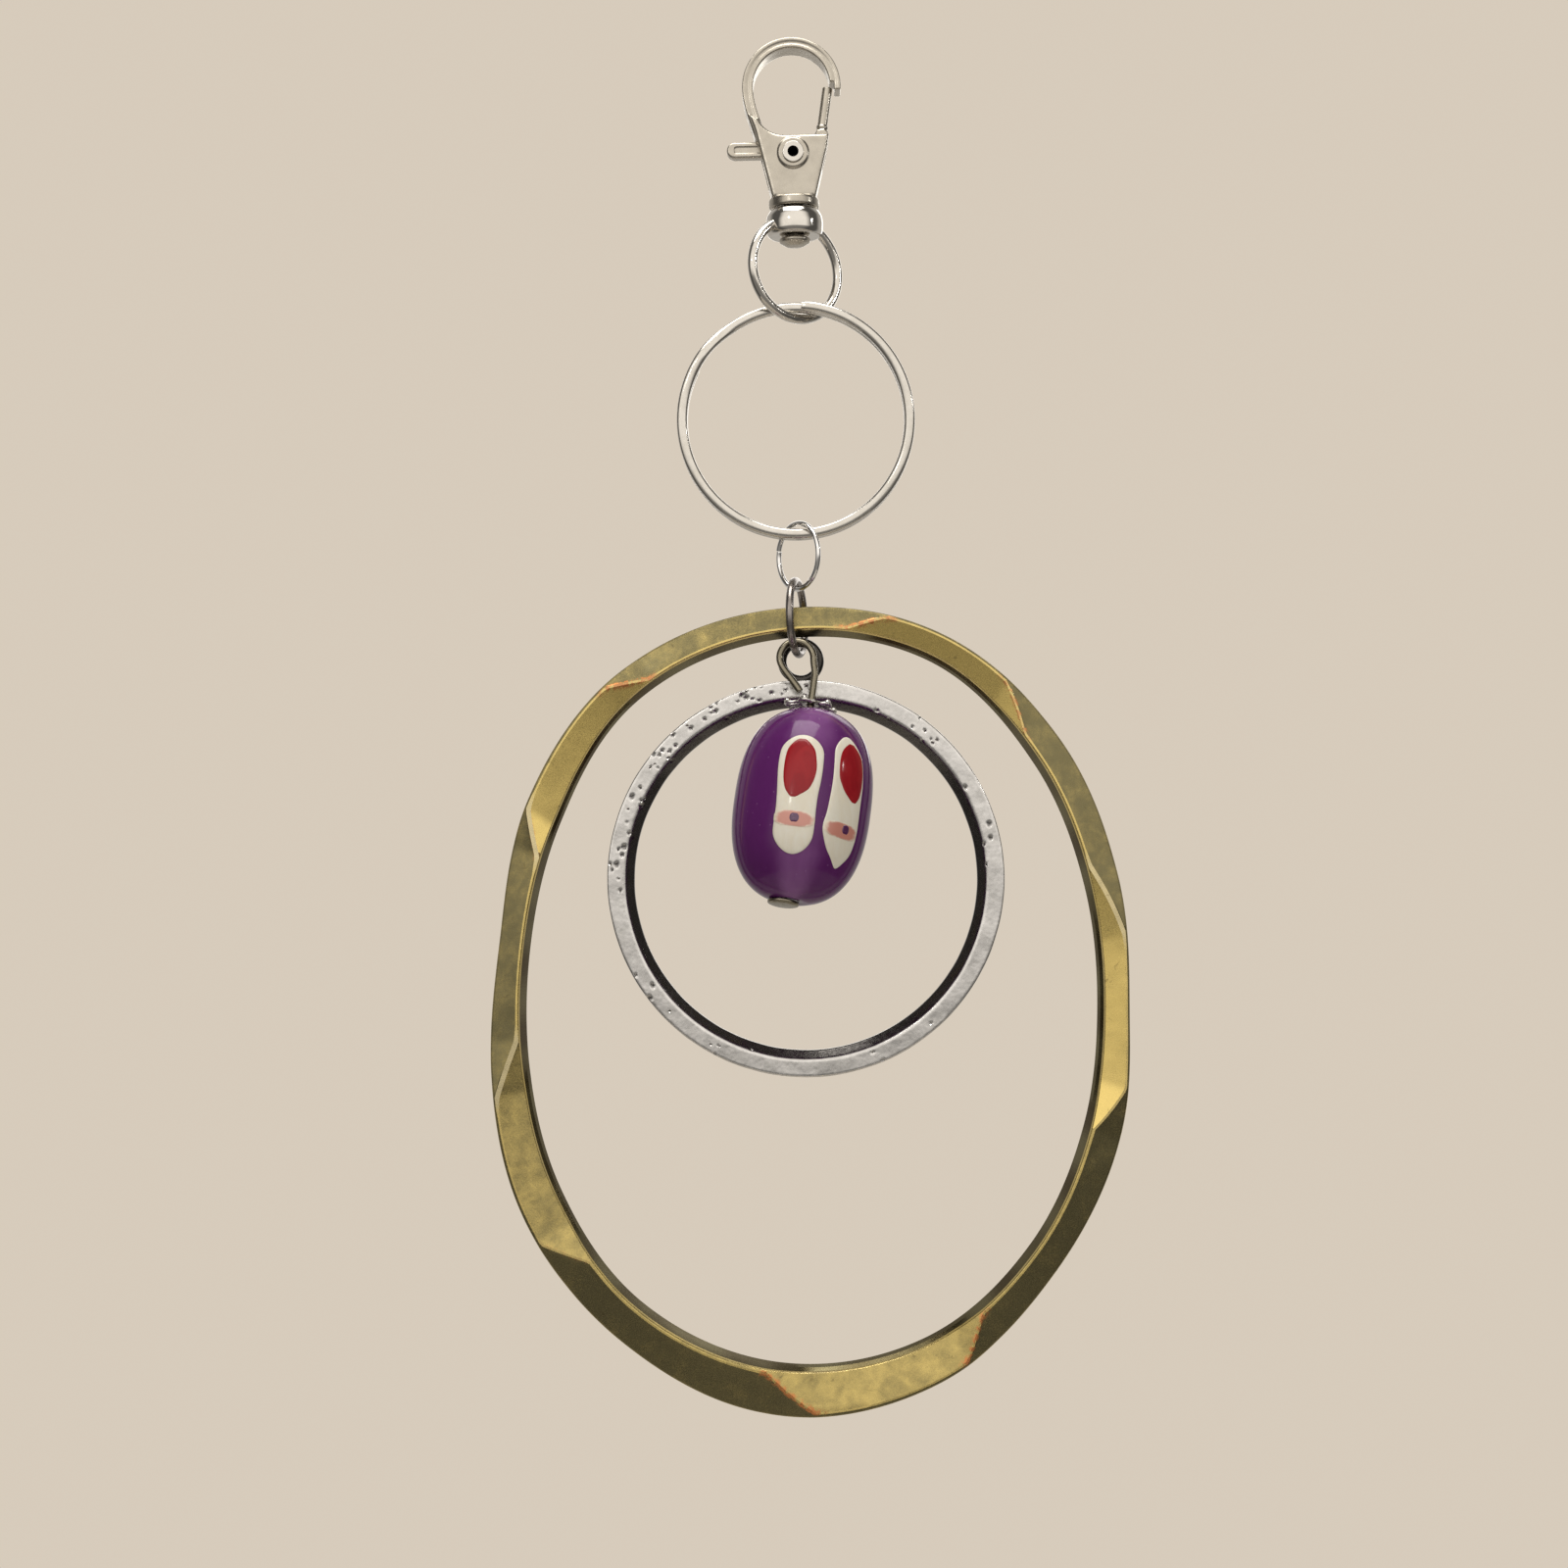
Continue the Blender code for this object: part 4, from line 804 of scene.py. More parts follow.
def build_split_ring():
    mid_r = SPLIT_R - 0.5 * SPLIT_WIRE
    half_turn = 0.5 * (SPLIT_DEPTH + SPLIT_TURN_GAP)
    first, last = SPLIT_STEP
    start = 4.0
    end = 360.0 + first - 4.0
    section = []
    for i in range(28):
        a = 2.0 * math.pi * (i + 0.5) / 28
        section.append((0.5 * SPLIT_WIRE * math.copysign(abs(math.cos(a)) ** 0.75, math.cos(a)),
                        0.5 * SPLIT_DEPTH * math.copysign(abs(math.sin(a)) ** 0.75, math.sin(a))))
    count = 420
    sections = []
    for i in range(count + 1):
        turn = start + (end - start) * i / count
        step = (turn - first) / (last - first)
        out = spoke(90.0 - turn)
        y = half_turn * (2.0 * smoothstep(step) - 1.0) - 0.275 * (1.0 + out.z)
        centre = Vector((SPLIT_X, y, SPLIT_Z)) + out * mid_r
        inset = min(i, count - i)
        size = (0.72, 0.92)[inset] if inset < 2 else 1.0
        sections.append([centre + (out * a + BACK * b) * size for a, b in section])
    ring = as_object("key_ring_coil", loft(sections, False))
    place_piece(ring, ring_steel, "key_ring", "split_ring", "ring_steel", 50.0)


JUMP_SLIT = 1.6          # degrees between the cut ends
JUMP_SET = 0.05          # how far the ends stand apart sideways
JUMP_THINNER = 0.015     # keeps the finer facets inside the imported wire


def build_jump_ring(name, centre, outer_r, wire_r, yaw, slit_at, finish, places):
    across, normal = turned(yaw)
    mid_r = outer_r - wire_r
    count = 150
    points = []
    for i in range(count + 1):
        angle = math.radians(slit_at + 0.5 * JUMP_SLIT + (360.0 - JUMP_SLIT) * i / count)
        points.append(centre + across * (mid_r * math.cos(angle)) + UP * (mid_r * math.sin(angle))
                      + normal * (JUMP_SET * math.cos(0.5 * (angle - math.radians(slit_at)))))
    ring = as_object(name, tube(points, wire_r - JUMP_THINNER, 24, side=normal, cap=0.02))
    place_piece(ring, finish, *places, 50.0)


# --- hoop ----------------------------------------------------------------------------------

HOOP_OUTLINE = [(34.8, 3.8), (36.4, 4.3), (40.4, 4.4), (45.0, 3.6), (45.6, 3.7), (43.7, 4.1),
                (38.8, 4.8), (35.9, 3.8), (36.0, 4.7), (38.6, 5.6), (42.2, 5.3), (44.0, 6.3),
                (43.0, 5.6), (39.5, 4.5), (36.2, 4.7)]
HOOP_FIRST_ANGLE = -1.3
# Ridges between facets: first and last angle, width of the ridge strip, how much copper shows,
# how white the strip is painted as a painted highlight, and how bright the facet that starts at the
# ridge is painted, a painted reflection.
HOOP_RIDGES = [
    (12.0, 26.2, 0.55, 0.10, 0.9, 0.12),
    (51.4, 58.5, 0.30, 0.70, 0.2, 1.15),
    (78.3, 83.9, 0.30, 1.00, 0.2, 0.20),
    (115.6, 121.9, 0.30, 1.00, 0.2, 0.95),
    (143.8, 150.3, 0.75, 0.45, 1.0, 0.15),
    (184.8, 194.6, 0.70, 0.10, 1.0, 0.42),
    (219.5, 227.0, 0.30, 0.35, 0.2, 0.05),
    (261.0, 268.6, 0.32, 0.95, 0.0, 0.50),
    (292.0, 297.4, 0.32, 0.95, 0.0, 0.05),
    (335.2, 344.0, 0.30, 0.25, 0.2, 0.95),
]
HOOP_DEPTH = 2.4
HOOP_DROP = 0.75         # how far a facet falls across the bar
HOOP_INNER_SLANT = 0.9
HOOP_OUTER_SLANT = 0.25
HOOP_FACET_COLUMNS = 6
HOOP_CENTRE = Vector((0.30, 0.10, -117.608))


def hoop_shape(angle):
    """Inner radius and bar width of the hoop, smooth through the outline's points."""
    count = len(HOOP_OUTLINE)
    place = ((angle - HOOP_FIRST_ANGLE) % 360.0) * count / 360.0
    near = [HOOP_OUTLINE[(int(place) + k) % count] for k in (-1, 0, 1, 2)]
    return [spline(*column, place % 1.0) for column in zip(*near)]


def hoop_ridge(angle):
    """Where the ridge crosses the bar (0 inside, 1 outside), its strip, copper and painted
    highlight whiteness.
    """
    place = 1.0
    strip, copper, white = 0.22, 0.0, 0.10
    for i, (start, end, width, amount, bright, _) in enumerate(HOOP_RIDGES):
        if angle >= start:
            t = min(1.0, (angle - start) / (end - start))
            place = 1.0 - t if i % 2 == 0 else t
        if start - 3.0 < angle < end + 3.0:
            near = min(1.0, (angle - start + 3.0) / 3.0, (end + 3.0 - angle) / 3.0)
            strip += (width - strip) * near
            copper = amount * near
            white += (bright - white) * near
    return 0.06 + 0.88 * place, strip, copper, white


def hoop_facet_light(angle, outward):
    """How bright the facet is painted, a painted reflection: even ridges start a facet at the outer
    edge, odd ridges one at the inner edge."""
    index = max((i for i, ridge in enumerate(HOOP_RIDGES) if angle >= ridge[0]), default=-1)
    newest = (index % 2 == 0) == outward
    return HOOP_RIDGES[index if newest else index - 1][5]


def hoop_section(angle):
    """Outline of the bar at an angle as (radius, depth) points, and what its finish needs."""
    columns = HOOP_FACET_COLUMNS
    half = 0.5 * HOOP_DEPTH
    inner, width = hoop_shape(angle)
    outer = inner + width
    ridge, strip, copper, white = hoop_ridge(angle)
    face_in = inner + HOOP_INNER_SLANT
    face_out = outer - HOOP_OUTER_SLANT
    reach = face_out - face_in
    low_in = -half + HOOP_DROP * ridge
    low_out = -half + HOOP_DROP * (1.0 - ridge)
    middle = face_in + reach * ridge
    a = max(face_in + 0.02, middle - 0.5 * strip)
    b = min(face_out - 0.02, middle + 0.5 * strip)
    points = []
    for k in range(columns):
        t = k / columns
        points.append((face_in + (a - face_in) * t, low_in + (-half - low_in) * t))
    points += [(a, -half), (b, -half)]
    for k in range(1, columns + 1):
        t = k / columns
        points.append((b + (face_out - b) * t, -half + 0.03 + (low_out + half - 0.03) * t))
    points += [(face_out + 0.13, low_out + 0.06), (outer - 0.03, low_out + 0.22),
               (outer, low_out + 0.5), (outer - 0.05, 0.4 * half), (outer - 0.1, half - 0.25),
               (outer - 0.18, half - 0.07), (outer - 0.35, half), (inner + 0.35, half),
               (inner + 0.1, half - 0.07), (inner + 0.02, half - 0.25), (inner + 0.30, 0.2 * half),
               (inner + 0.70, low_in + 0.35), (inner + 0.82, low_in + 0.1)]
    return points, (ridge, copper, white, reach)


def build_hoop():
    """Cut bar with ten long facets painted bright and dark, strips on the ridges with copper wear
    and painted highlights, and rounded edges.
    """
    strip_column = HOOP_FACET_COLUMNS
    angles = [0.75 * i for i in range(480)]
    sections = []
    info = []
    for angle in angles:
        points, facts = hoop_section(angle)
        direction = spoke(angle)
        wobble = 0.03 * noise.noise(direction * 2.3) - 0.012
        sections.append([HOOP_CENTRE + direction * (r + wobble) + BACK * y for r, y in points])
        info.append(facts)

    def finish(row, corner_row, column, corner):
        """Painted facet light with rubbing, copper wear and painted strip highlight of one face
        corner.
        """
        ridge, copper, white, reach = info[corner_row % len(info)]
        angle = angles[row]
        # Inner facet: brightness painted as a reflection; copper fades away from the ridge.
        if column < strip_column:
            away = (strip_column - corner) / HOOP_FACET_COLUMNS * ridge * reach
            return (hoop_facet_light(angle, False), copper * math.exp(-away / 0.55), 0.0)
        # Ridge strip: bright and whitish, a painted highlight, with copper wear.
        if column == strip_column:
            return (0.8, copper * (1.0 - 0.75 * white), white)
        # Outer facet: brightness painted as a reflection; copper fades away from the ridge.
        if column <= strip_column + 1 + HOOP_FACET_COLUMNS:
            away = (corner - strip_column - 1) / HOOP_FACET_COLUMNS * (1.0 - ridge) * reach
            return (hoop_facet_light(angle, True), copper * math.exp(-away / 0.30), 0.0)
        # Inner front rim: bright and whitish, a painted highlight.
        if column >= len(sections[0]) - 2:
            return (0.75, 0.0, 0.35 * noise.noise(Vector((0.08 * angle, 0.0, 0.0))) + 0.20)
        # Inner wall: painted dark, unevenly.
        if column >= len(sections[0]) - 4:
            return (-0.45 + 0.5 * noise.noise(Vector((0.15 * angle, 0.0, 3.0))), 0.0, 0.0)
        return (0.35, 0.0, 0.0)

    hoop = as_object("hoop_bar", loft(sections, True, finish))
    place_piece(hoop, brass, "hoop", "brass_hoop", "antique_brass", 9.0)


# --- silver ring ---------------------------------------------------------------------------

RING_R = 24.5
RING_WIDTH = 3.4
RING_DEPTH = 2.0
RING_CHAMFER = 1.2
EYELET_R = 2.85
EYELET_WIRE_R = 0.55
RING = Vector((-0.4705, 1.55, -101.715))
EYELET_Z = -72.515 - (EYELET_R - EYELET_WIRE_R)
# Clusters of casting pits: angle, spread of angles and how many
RING_PITS = [(128.0, 14.0, 26), (112.0, 10.0, 14), (151.0, 5.0, 6), (172.0, 9.0, 14),
             (192.0, 8.0, 6), (45.0, 12.0, 9), (20.0, 7.0, 5), (62.0, 6.0, 6), (232.0, 20.0, 8),
             (300.0, 30.0, 6)]


def ring_pits():
    """Place, radius and depth of each pit, from a fixed sequence."""
    pits = []
    for k, (angle, spread, count) in enumerate(RING_PITS):
        for i in range(count):
            u, v, w = (noise.cell(Vector((k + 0.5, i + 0.5, z))) for z in (0.5, 1.5, 2.5))
            pits.append((angle + spread * (2.0 * u - 1.0), 0.25 + 0.7 * v, 0.10 + 0.20 * w * w))
    return pits


def build_silver_ring():
    inner = RING_R - RING_WIDTH
    half = 0.5 * RING_DEPTH
    corners = [(inner, 0.3 * half), (inner + RING_CHAMFER, -half), (RING_R, -half),
               (RING_R, half), (inner + 0.25, half)]
    outline = rounded(corners, 0.30, 4)
    profile = []
    for i, (r, h) in enumerate(outline):
        r2, h2 = outline[(i + 1) % len(outline)]
        steps = max(1, int(math.hypot(r2 - r, h2 - h) / 0.16))
        profile += [(r + (r2 - r) * k / steps, h + (h2 - h) * k / steps) for k in range(steps)]
    segments = 840
    pits = ring_pits()
    sections = []
    darkness = []
    for i in range(segments):
        angle = 360.0 * i / segments
        direction = spoke(angle)
        near = [pit for pit in pits if abs(apart(pit[0], angle)) < 1.2]
        section = []
        dark = []
        for r, h in profile:
            wave = 0.035 * noise.noise(direction * (0.35 * r) + BACK * (0.3 * h))
            depth = 0.0
            for a, share, size in near:
                across = inner + RING_CHAMFER + share * (RING_WIDTH - RING_CHAMFER) - r
                along = math.radians(apart(a, angle)) * r
                depth = max(depth, smoothstep(1.3 - math.hypot(across, along * 0.75) / size))
            depth *= smoothstep((-h - 0.5 * half) / (0.4 * half))
            section.append(RING + direction * (r + wave) + BACK * (h + wave + 0.20 * depth))
            # Painted shade over the front inner chamfer.
            chamfer_shade = smoothstep((inner + RING_CHAMFER + 0.12 - r) / 0.35) * (h < 0.25 * half)
            dark.append(max(0.85 * depth, 0.90 * chamfer_shade))
        sections.append(section)
        darkness.append(dark)

    def finish(row, corner_row, column, corner):
        """Pit tarnish and painted chamfer shade of a corner."""
        return grey(darkness[corner_row % segments][corner % len(profile)])

    ring = as_object("round_ring_cast", loft(sections, True, finish))
    points = [Vector((RING.x + x, RING.y, EYELET_Z + z))
              for x, z in arc(0.0, 0.0, EYELET_R - EYELET_WIRE_R, 5.0, 365.0, 96)[:-1]]
    combine(ring, [tube(points, EYELET_WIRE_R, 24, True)])
    place_piece(ring, cast_silver, "round_ring", "silver_ring", "cast_silver", 35.0)


# --- pin, cap and bead ---------------------------------------------------------------------

PIN_HANG = Vector((-1.1295, -1.55, -72.657))
PIN_WIRE_R = 0.425
PIN_LOOP_R = 2.07
PIN_HANG_OFFSET = 0.45   # from the loop's centre to the point it hangs on
PIN_LOOP_OFFSET = 2.50   # from the loop's centre to the pin's axis
PIN_LEAN = 9.0           # degrees, bottom to the left
PIN_PITCH = 14.0         # degrees, bottom forward
STEM_LENGTH = 6.75
AXIS_X = PIN_HANG_OFFSET + PIN_LOOP_OFFSET
PIN_AXIS = Vector((AXIS_X, 0.0, 0.0))
LOOP_CENTRE_Z = -math.sqrt(PIN_LOOP_R ** 2 - PIN_HANG_OFFSET ** 2)
PIN_FRAME = (Matrix.Translation(PIN_HANG) @ Matrix.Rotation(math.radians(-PIN_PITCH), 4, 'X')
             @ Matrix.Rotation(math.radians(PIN_LEAN), 4, 'Y'))
HEAD_R = 1.90
HEAD_HEIGHT = 0.55
CAP_R = 3.3
BEAD_LENGTH = 23.7
BEAD_WIDTH = 16.2
BEAD_DEPTH = 15.4
BEAD_TOP = LOOP_CENTRE_Z - STEM_LENGTH
BEAD_MID = BEAD_TOP - 0.5 * BEAD_LENGTH
BEAD_BOTTOM = BEAD_TOP - BEAD_LENGTH
BEAD_BORE_R = 0.75
BEAD_OFFSET = 0.7
BEAD_FULLNESS = 2.5
DEGREES_PER_MM = 360.0 / (math.pi * 0.5 * (BEAD_WIDTH + BEAD_DEPTH))


def build_head_pin():
    turn = [Vector((x, 0.0, z)) for x, z in arc(PIN_HANG_OFFSET, LOOP_CENTRE_Z, PIN_LOOP_R,
                                               195.0, 5.0, 80)]
    end = Vector((AXIS_X - 1.55, 0.0, BEAD_TOP + 2.6))
    upward = (turn[1] - turn[0]).normalized()
    points = [end] + bezier(end, end + Vector((-1.1, 0.0, 1.4)), turn[0] - upward * 1.1,
                            turn[0], 30) + turn[1:]
    stem_top = PIN_AXIS + UP * (LOOP_CENTRE_Z - 1.05 * PIN_LOOP_R)
    heading = (points[-1] - points[-2]).normalized()
    points += bezier(points[-1], points[-1] + heading * 0.8, stem_top + UP * 0.9, stem_top, 20)
    head_top = BEAD_BOTTOM - RUNNING_GAP
    foot = PIN_AXIS + UP * (head_top - 0.3 * HEAD_HEIGHT)
    points += [stem_top.lerp(foot, i / 16) for i in range(1, 17)]
    aside = 60               # the first points, which stand a little behind the stem
    for i, point in enumerate(points[:aside]):
        point.y += 0.10 * (1.0 - i / aside) ** 2
    pin = as_object("head_pin_wire", tube(points, PIN_WIRE_R, 24, cap=0.05))
    head = rounded([(0.1, 0.0), (HEAD_R, 0.0), (HEAD_R, -0.36), (1.45, -HEAD_HEIGHT + 0.06),
                    (0.1, -HEAD_HEIGHT)], 0.14, 4, False)
    # The head disc is painted all over with the pin's shade colour: painted shade.
    combine(pin, [lathe([(r, head_top + drop) for r, drop in head], 64, PIN_AXIS, solid=True,
                        colour=lambda *_: grey(1.0))])
    pin.data.transform(PIN_FRAME)
    place_piece(pin, pin_steel, "pin", "head_pin", "pin_steel", 40.0)


def cap_surface(radius, lift=0.0):
    """Height of the cap's sheet at a distance from the pin."""
    return BEAD_TOP + 0.28 + 0.9 * (1.0 - (radius / CAP_R) ** 2) + lift


def ball(centre, radius, subdivisions):
    bm = bmesh.new()
    bmesh.ops.create_icosphere(bm, subdivisions=subdivisions, radius=radius)
    bm.transform(Matrix.Translation(centre))
    return bm


def build_bead_cap():
    """Filigree cap: six wire petals with curled tips round a beaded collar."""
    hub = rounded([(0.52, cap_surface(0.5, -0.2)), (1.05, cap_surface(1.0, -0.2)),
                   (1.05, cap_surface(1.0, 0.2)), (0.52, cap_surface(0.5, 0.26))], 0.12, 3)
    cap = as_object("filigree_cap", lathe(hub, 48, PIN_AXIS))
    parts = []
    petals = 6
    for k in range(petals):
        out, side = turned(360.0 * (k + 0.25) / petals)
        between, _ = turned(360.0 * (k + 0.75) / petals)
        loop = []
        count = 40
        for i in range(count):
            t = 2.0 * math.pi * i / count
            radius = 2.02 - 1.12 * math.cos(t)
            across = 0.95 * math.sin(t) * (0.55 + 0.45 * (radius - 0.9) / 2.24)
            curl = 0.28 * smoothstep((radius - 2.5) / 0.7)
            loop.append(PIN_AXIS + out * radius + side * across
                        + UP * cap_surface(math.hypot(radius, across), curl))
        parts.append(tube(loop, 0.19, 10, True, UP))
        vein = [PIN_AXIS + out * r + UP * cap_surface(r, 0.02 + 0.20 * smoothstep((r - 2.3) / 0.7))
                for r in (0.9, 1.3, 1.7, 2.1, 2.5, 2.8, 3.0)]
        parts.append(tube(vein, 0.14, 8, side=side))
        parts.append(ball(PIN_AXIS + out * 2.92 + UP * cap_surface(2.92, 0.36), 0.40, 3))
        parts.append(ball(PIN_AXIS + between * 1.12 + UP * cap_surface(1.12, 0.1), 0.24, 2))
    merged = bmesh.new()
    for bm in parts:
        bmesh.ops.recalc_face_normals(bm, faces=bm.faces)
        mesh = bpy.data.meshes.new("part")
        bm.to_mesh(mesh)
        bm.free()
        merged.from_mesh(mesh)
        bpy.data.meshes.remove(mesh)
    merged.from_mesh(cap.data)
    merged.to_mesh(cap.data)
    merged.free()
    soften(cap, 0.06, 2)
    cap.data.transform(PIN_FRAME)
    place_piece(cap, cap_silver, "cap", "bead_cap", "cast_silver", 70.0)


def bead_radius(height):
    t = min(1.0, abs(height) / (0.5 * BEAD_LENGTH) * 0.985)
    return (1.0 - t ** BEAD_FULLNESS) ** (1.0 / BEAD_FULLNESS)


def bead_point(angle, height, lift=0.0):
    """A point on the bead, or lifted off it; the angle is in degrees from the front."""
    turn = math.radians(angle)
    share = bead_radius(height) * (1.0 + 0.02 * math.cos(4.0 * turn))
    x = (0.5 * BEAD_WIDTH * share + lift) * math.sin(turn)
    y = -(0.5 * BEAD_DEPTH * share + lift) * math.cos(turn)
    return Vector((AXIS_X + BEAD_OFFSET + x, y, BEAD_MID + height))


def build_bead():
    rows = 64
    segments = 144
    heights = [0.5 * BEAD_LENGTH * math.sin(math.pi * (k / rows - 0.5)) for k in range(rows + 1)]
    sections = []
    for i in range(segments):
        angle = 360.0 * i / segments
        out, _ = turned(angle - 90.0)
        mouth = ((0.95, 0.05), (0.78, 0.2), (BEAD_BORE_R, 0.6))
        bore = [(r, BEAD_TOP - drop) for r, drop in mouth]
        bore += [(r, BEAD_BOTTOM + drop) for r, drop in reversed(mouth)]
        sections.append([bead_point(angle, height) for height in heights]
                        + [PIN_AXIS + out * r + UP * z for r, z in bore])

    def finish(row, corner_row, column, corner):
        """How milky the glass is: a soft streak in front and one at the back."""
        angle = 360.0 * corner_row / segments
        height = heights[corner] if corner < len(heights) else 0.0
        streak = 0.0
        for middle, half in ((4.0, 22.0), (188.0, 26.0)):
            streak = max(streak, smoothstep(1.25 - 0.75 * abs(apart(angle, middle)) / half))
        ends = smoothstep((abs(height) - 4.5) / 3.5)
        return grey(streak * (0.20 + 0.40 * ends) + 0.10 * smoothstep((abs(height) - 9.0) / 2.5))

    bead = as_object("bead_glass", loft(sections, True, finish))
    bead.data.transform(PIN_FRAME)
    place_piece(bead, purple_glass, "bead", "glass_bead", "purple_glass", 40.0)


def pinched(t, ends):
    """How wide a leaf is at t along it, with round ends: 1 in the middle."""
    width = 1.0
    for away, blunt in ((t, ends[0]), (1.0 - t, ends[1])):
        if away < blunt:
            width = min(width, math.sqrt(max(0.0, 1.0 - (1.0 - away / blunt) ** 2.2)))
    return max(0.03, width)


def build_leaf(name, node, slot, material, low, high, lift, ends, stations):
    """A leaf of glass fused onto the bead.

    stations are (left, right) edges in millimetres round the bead from its front, evenly spaced
    from low to high, and ends say how blunt the bottom and the top are."""
    rows = 44
    columns = 20
    lefts, rights = zip(*stations)
    sections = []
    inside = []
    for k in range(rows + 1):
        t = 0.5 - 0.5 * math.cos(math.pi * k / rows)
        height = low + (high - low) * t
        left = curve_through(lefts, t)
        right = curve_through(rights, t)
        middle = 0.5 * (left + right)
        half = 0.5 * (right - left) * pinched(t, ends)
        over = []
        under = []
        rim = []
        for j in range(columns + 1):
            u = math.sin(0.5 * math.pi * (2.0 * j / columns - 1.0))
            edge = min(half * (1.0 - abs(u)), min(t, 1.0 - t) * (high - low))
            rise = math.sqrt(max(0.0, 1.0 - (1.0 - min(1.0, edge / 0.45)) ** 2))
            angle = (middle + half * u) * DEGREES_PER_MM
            over.append(bead_point(angle, height, 0.02 + (lift - 0.02) * rise))
            under.append(bead_point(angle, height, -0.10))
            rim.append(min(1.0, (1.0 - abs(u)) * 1.6) * min(1.0, 3.2 * min(t, 1.0 - t)))
        sections.append(over + under[::-1])
        inside.append(rim)

    def finish(row, corner_row, column, corner):
        """Distance from the rim, 0 to 1."""
        place = corner % (2 * columns + 2)
        return grey(inside[corner_row][place] if place <= columns else 0.0)

    leaf = as_object(name, loft(sections, False, finish))
    leaf.data.transform(PIN_FRAME)
    place_piece(leaf, material, "bead", node, slot, 50.0)


# A pair of slippers in glass, the left one round-toed and the right one more pointed: what it is,
# which side, bottom, top, lift off the bead, how blunt its ends are, and its stations.
PICTURE = [
    ("slipper", "left", -7.7, 6.8, 0.12, (0.19, 0.16),
     [(-2.70, 1.95), (-2.98, 2.00), (-2.92, 1.95), (-2.84, 1.84), (-2.95, 1.84),
      (-3.15, 1.98), (-3.31, 2.02), (-3.30, 1.95), (-3.05, 1.75)]),
    ("slipper", "right", -8.15, 7.8, 0.12, (0.14, 0.16),
     [(5.60, 7.70), (3.95, 8.30), (3.00, 8.45), (3.20, 8.32), (3.35, 8.22),
      (3.43, 8.26), (3.40, 8.22), (3.42, 8.02), (3.80, 7.30)]),
    ("insole", "left", -1.22, 6.35, 0.17, (0.20, 0.24),
     [(-1.85, -0.10), (-2.20, 0.80), (-2.50, 1.25), (-2.60, 1.40), (-2.62, 1.25),
      (-2.45, 0.95), (-2.10, 0.45)]),
    ("insole", "right", -0.30, 7.10, 0.17, (0.20, 0.24),
     [(5.85, 7.70), (4.90, 7.88), (4.18, 8.05), (3.98, 8.12), (4.02, 8.06),
      (4.35, 7.85), (4.90, 7.25)]),
    ("strap", "left", -4.75, -2.60, 0.15, (0.38, 0.38),
     [(-2.97, 1.95), (-2.97, 1.94), (-2.98, 1.92)]),
    ("strap", "right", -4.95, -2.80, 0.15, (0.38, 0.38),
     [(3.00, 8.40), (3.05, 8.40), (3.12, 8.38)]),
    ("dot", "left", -4.20, -2.90, 0.20, (0.5, 0.5), [(-1.17, 0.17), (-1.17, 0.17)]),
    ("dot", "right", -4.28, -2.98, 0.20, (0.5, 0.5), [(5.52, 6.88), (5.52, 6.88)]),
]
GLASSES = {"slipper": ("white_glass", white_glass), "insole": ("red_glass", red_glass),
           "strap": ("pink_glass", pink_glass), "dot": ("violet_glass", violet_glass)}


def build_picture():
    for kind, side, *shape in PICTURE:
        build_leaf(f"{kind}_glass_{side}", f"{kind}_{side}", *GLASSES[kind], *shape)


# --- stage ---------------------------------------------------------------------------------

CAMERA_DISTANCE = 300.0
FOCAL_LENGTH = 56.0
SENSOR_WIDTH = 36.0
ROLL = math.radians(1.34)
VIEW_CENTRE = Vector((-2.9, 0.0, -90.0))
VIEW_DROP = 10.0         # the camera's height below the middle of the view
BACKDROP = (0.68, 0.60, 0.50)
ROOM_DARK = 0.10
ROOM_WALL = 0.50
ROOM_WINDOW = 1.15
FLOOR_R = 250.0
FLOOR_Z = -300.0
LAMP_AIM = Vector((0.0, 0.0, -95.0))
# Name, place, size, power in watts and tint of each lamp
LAMPS = [("top_softbox", (-25.0, -70.0, 250.0), (260.0, 200.0), 0.80, (1.0, 0.97, 0.92)),
         ("left_lamp", (-120.0, -285.0, 66.0), (14.0, 14.0), 0.022, (1.0, 0.98, 0.95)),
         ("right_lamp", (284.0, -82.0, 36.0), (16.0, 16.0), 0.04, (1.0, 0.98, 0.95)),
         ("back_fill", (60.0, 340.0, 60.0), (300.0, 220.0), 0.30, (1.0, 0.98, 0.95))]


def add_lamp(name, place, size, power, tint):
    light = bpy.data.lights.new(name, 'AREA')
    light.shape = 'RECTANGLE'
    light.size = size[0] * MM
    light.size_y = size[1] * MM
    light.energy = power
    light.color = tint
    obj = bpy.data.objects.new(name, light)
    bpy.context.scene.collection.objects.link(obj)
    obj.location = Vector(place) * MM
    obj.rotation_mode = 'QUATERNION'
    obj.rotation_quaternion = (LAMP_AIM - Vector(place)).to_track_quat('-Z', 'Y')
    obj.visible_camera = False


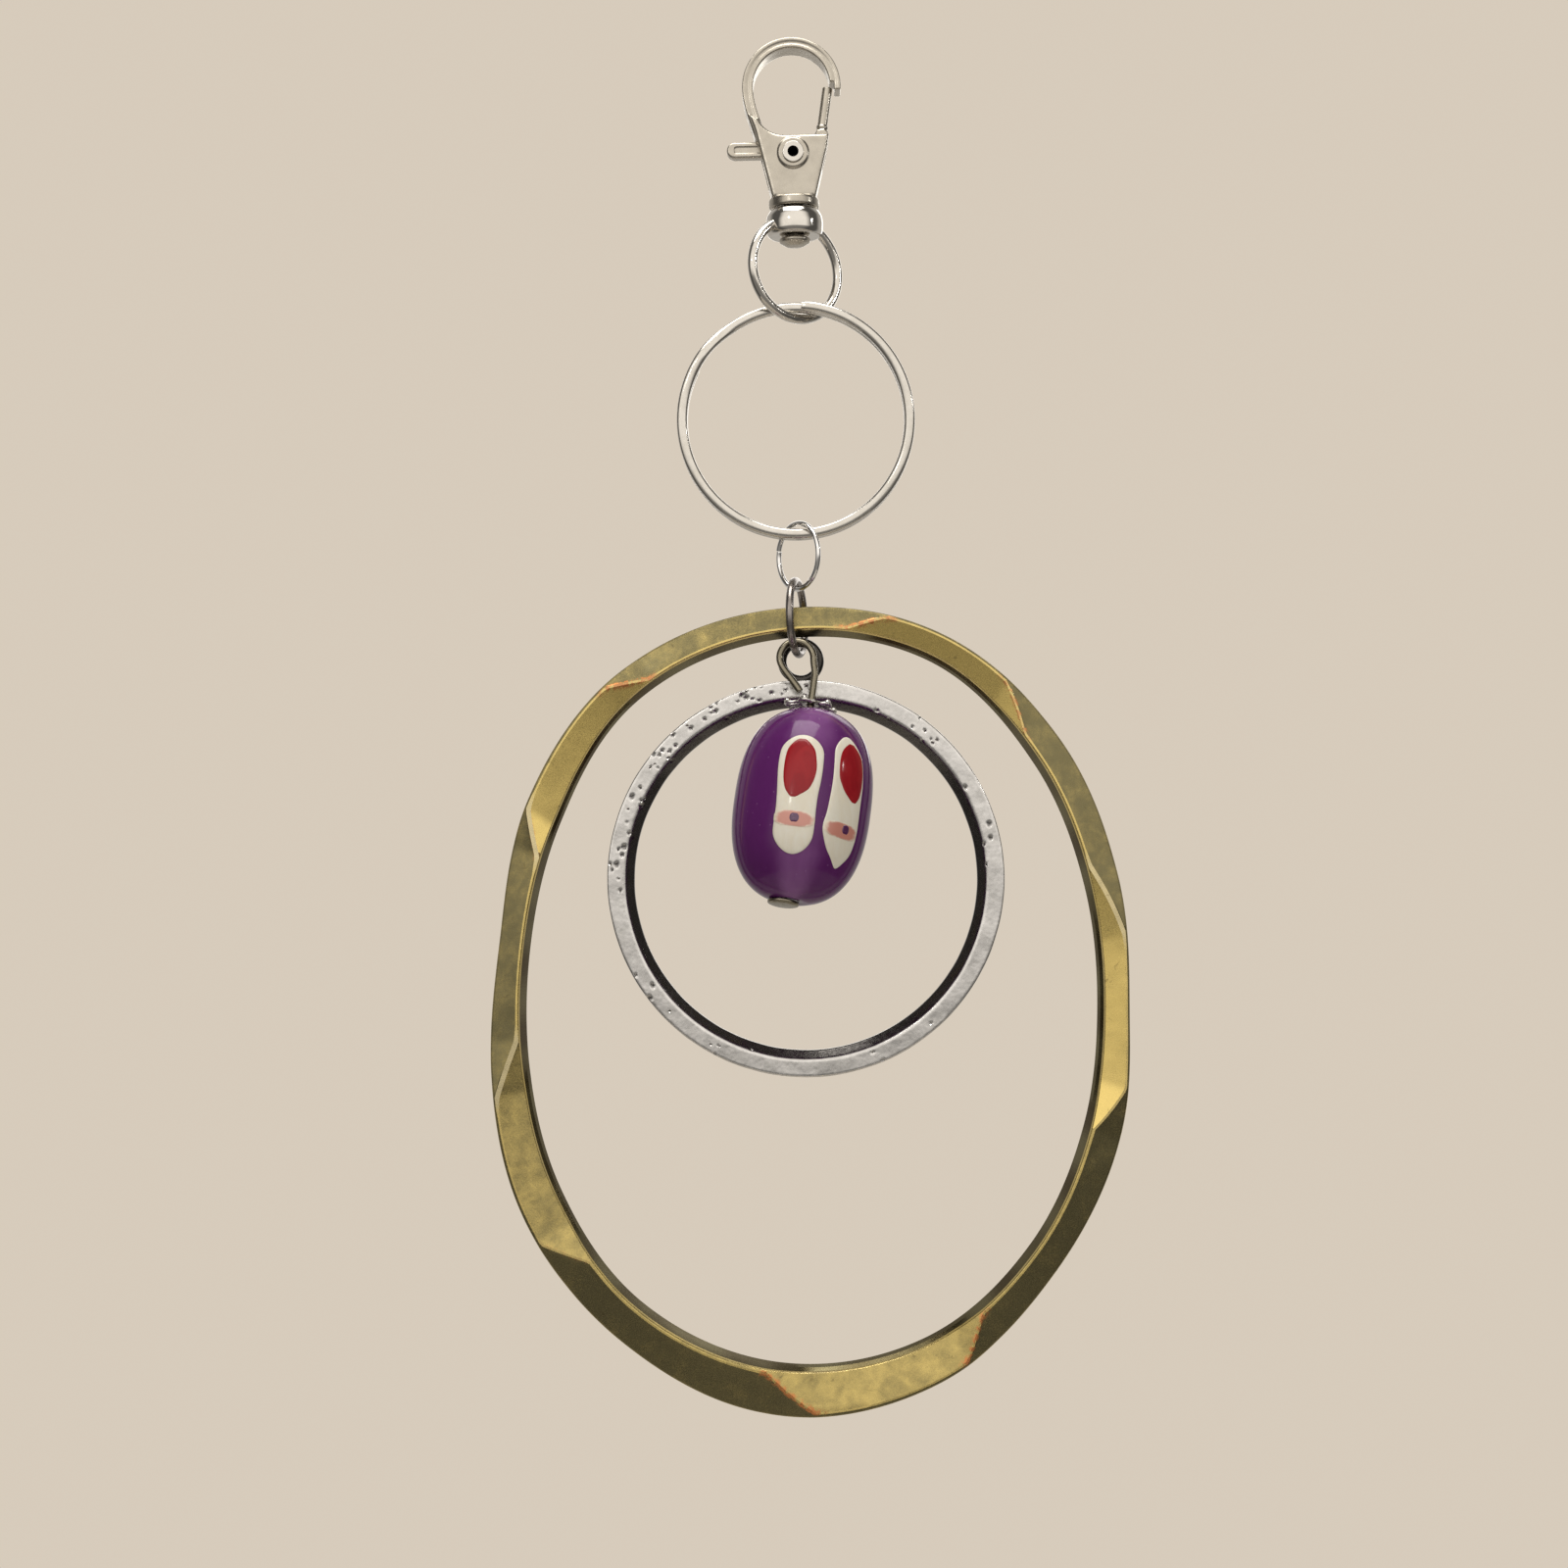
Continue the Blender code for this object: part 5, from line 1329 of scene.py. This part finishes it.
def build_stage():
    camera = bpy.data.objects.new("camera", bpy.data.cameras.new("camera"))
    bpy.context.scene.collection.objects.link(camera)
    camera.data.sensor_width = SENSOR_WIDTH
    camera.data.lens = FOCAL_LENGTH
    camera.data.shift_y = VIEW_DROP * FOCAL_LENGTH / (SENSOR_WIDTH * CAMERA_DISTANCE)
    camera.data.clip_start = 0.01
    camera.data.clip_end = 20.0
    up = Vector((math.sin(ROLL), 0.0, math.cos(ROLL)))
    right = Vector((math.cos(ROLL), 0.0, -math.sin(ROLL)))
    spot = VIEW_CENTRE - up * VIEW_DROP + FRONT * CAMERA_DISTANCE
    turn = Matrix((right, up, FRONT)).transposed().to_4x4()
    camera.matrix_world = Matrix.Translation(spot * MM) @ turn
    bpy.context.scene.camera = camera

    floor = as_object("floor", lathe([(FLOOR_R, -2.0), (FLOOR_R, 0.0)], 96, UP * FLOOR_Z,
                                     solid=True))
    floor.data.transform(Matrix.Scale(MM, 4))
    paper = Finish("floor_paper", Roughness=0.8)
    tone = paper.mix(paper.noise(paper.place(), 0.02), (0.66, 0.62, 0.56), (0.70, 0.66, 0.60))
    paper.put(paper.shader.inputs["Base Color"], tone)
    floor.data.materials.append(paper.material)

    bpy.context.scene.view_settings.view_transform = 'Standard'
    build_room()
    for lamp in LAMPS:
        add_lamp(*lamp)


def build_room():
    """Even beige for the camera; everything else meets a pale wall behind, a bright room in front
    that darkens downwards, and darkness to the sides."""
    world = bpy.data.worlds.new("room")
    bpy.context.scene.world = world
    world.use_nodes = True
    room = Nodes(world.node_tree)
    sight = room.add("SeparateXYZ", {0: room.add("TexCoord").outputs["Generated"]}).outputs
    behind = room.ramp(sight["Y"], 0.15, 0.60, ROOM_DARK, ROOM_WALL)
    before = room.ramp(sight["Y"], -0.25, -0.75, 0.0, ROOM_WINDOW)
    above = room.ramp(sight["Z"], -0.22, 0.14, 0.20, 1.0)
    strength = room.maths('MAXIMUM', behind, room.times(before, above))
    walls = room.add("Background", {"Color": (1.0, 0.95, 0.88, 1.0), "Strength": strength})
    backdrop = room.add("Background", {"Color": (*BACKDROP, 1.0)})
    seen = room.add("LightPath").outputs["Is Camera Ray"]
    shader = room.add("MixShader", {0: seen, 1: walls.outputs[0], 2: backdrop.outputs[0]})
    room.put(room.tree.nodes["World Output"].inputs["Surface"], shader.outputs[0])


build_clasp_body()
build_lever()
build_rivet()
build_spring()
build_swivel_loop()
build_split_ring()
build_jump_ring("jump_ring_small", SMALL, SMALL_R, SMALL_WIRE_R, SMALL_YAW, 165.0, bright_silver,
                ("small_link", "small_jump_ring", "bright_silver"))
build_jump_ring("jump_ring_large", LARGE, LARGE_R, LARGE_WIRE_R, LARGE_YAW, 20.0, dark_steel,
                ("large_link", "large_jump_ring", "dark_steel"))
build_hoop()
build_silver_ring()
build_head_pin()
build_bead_cap()
build_bead()
build_picture()
build_stage()
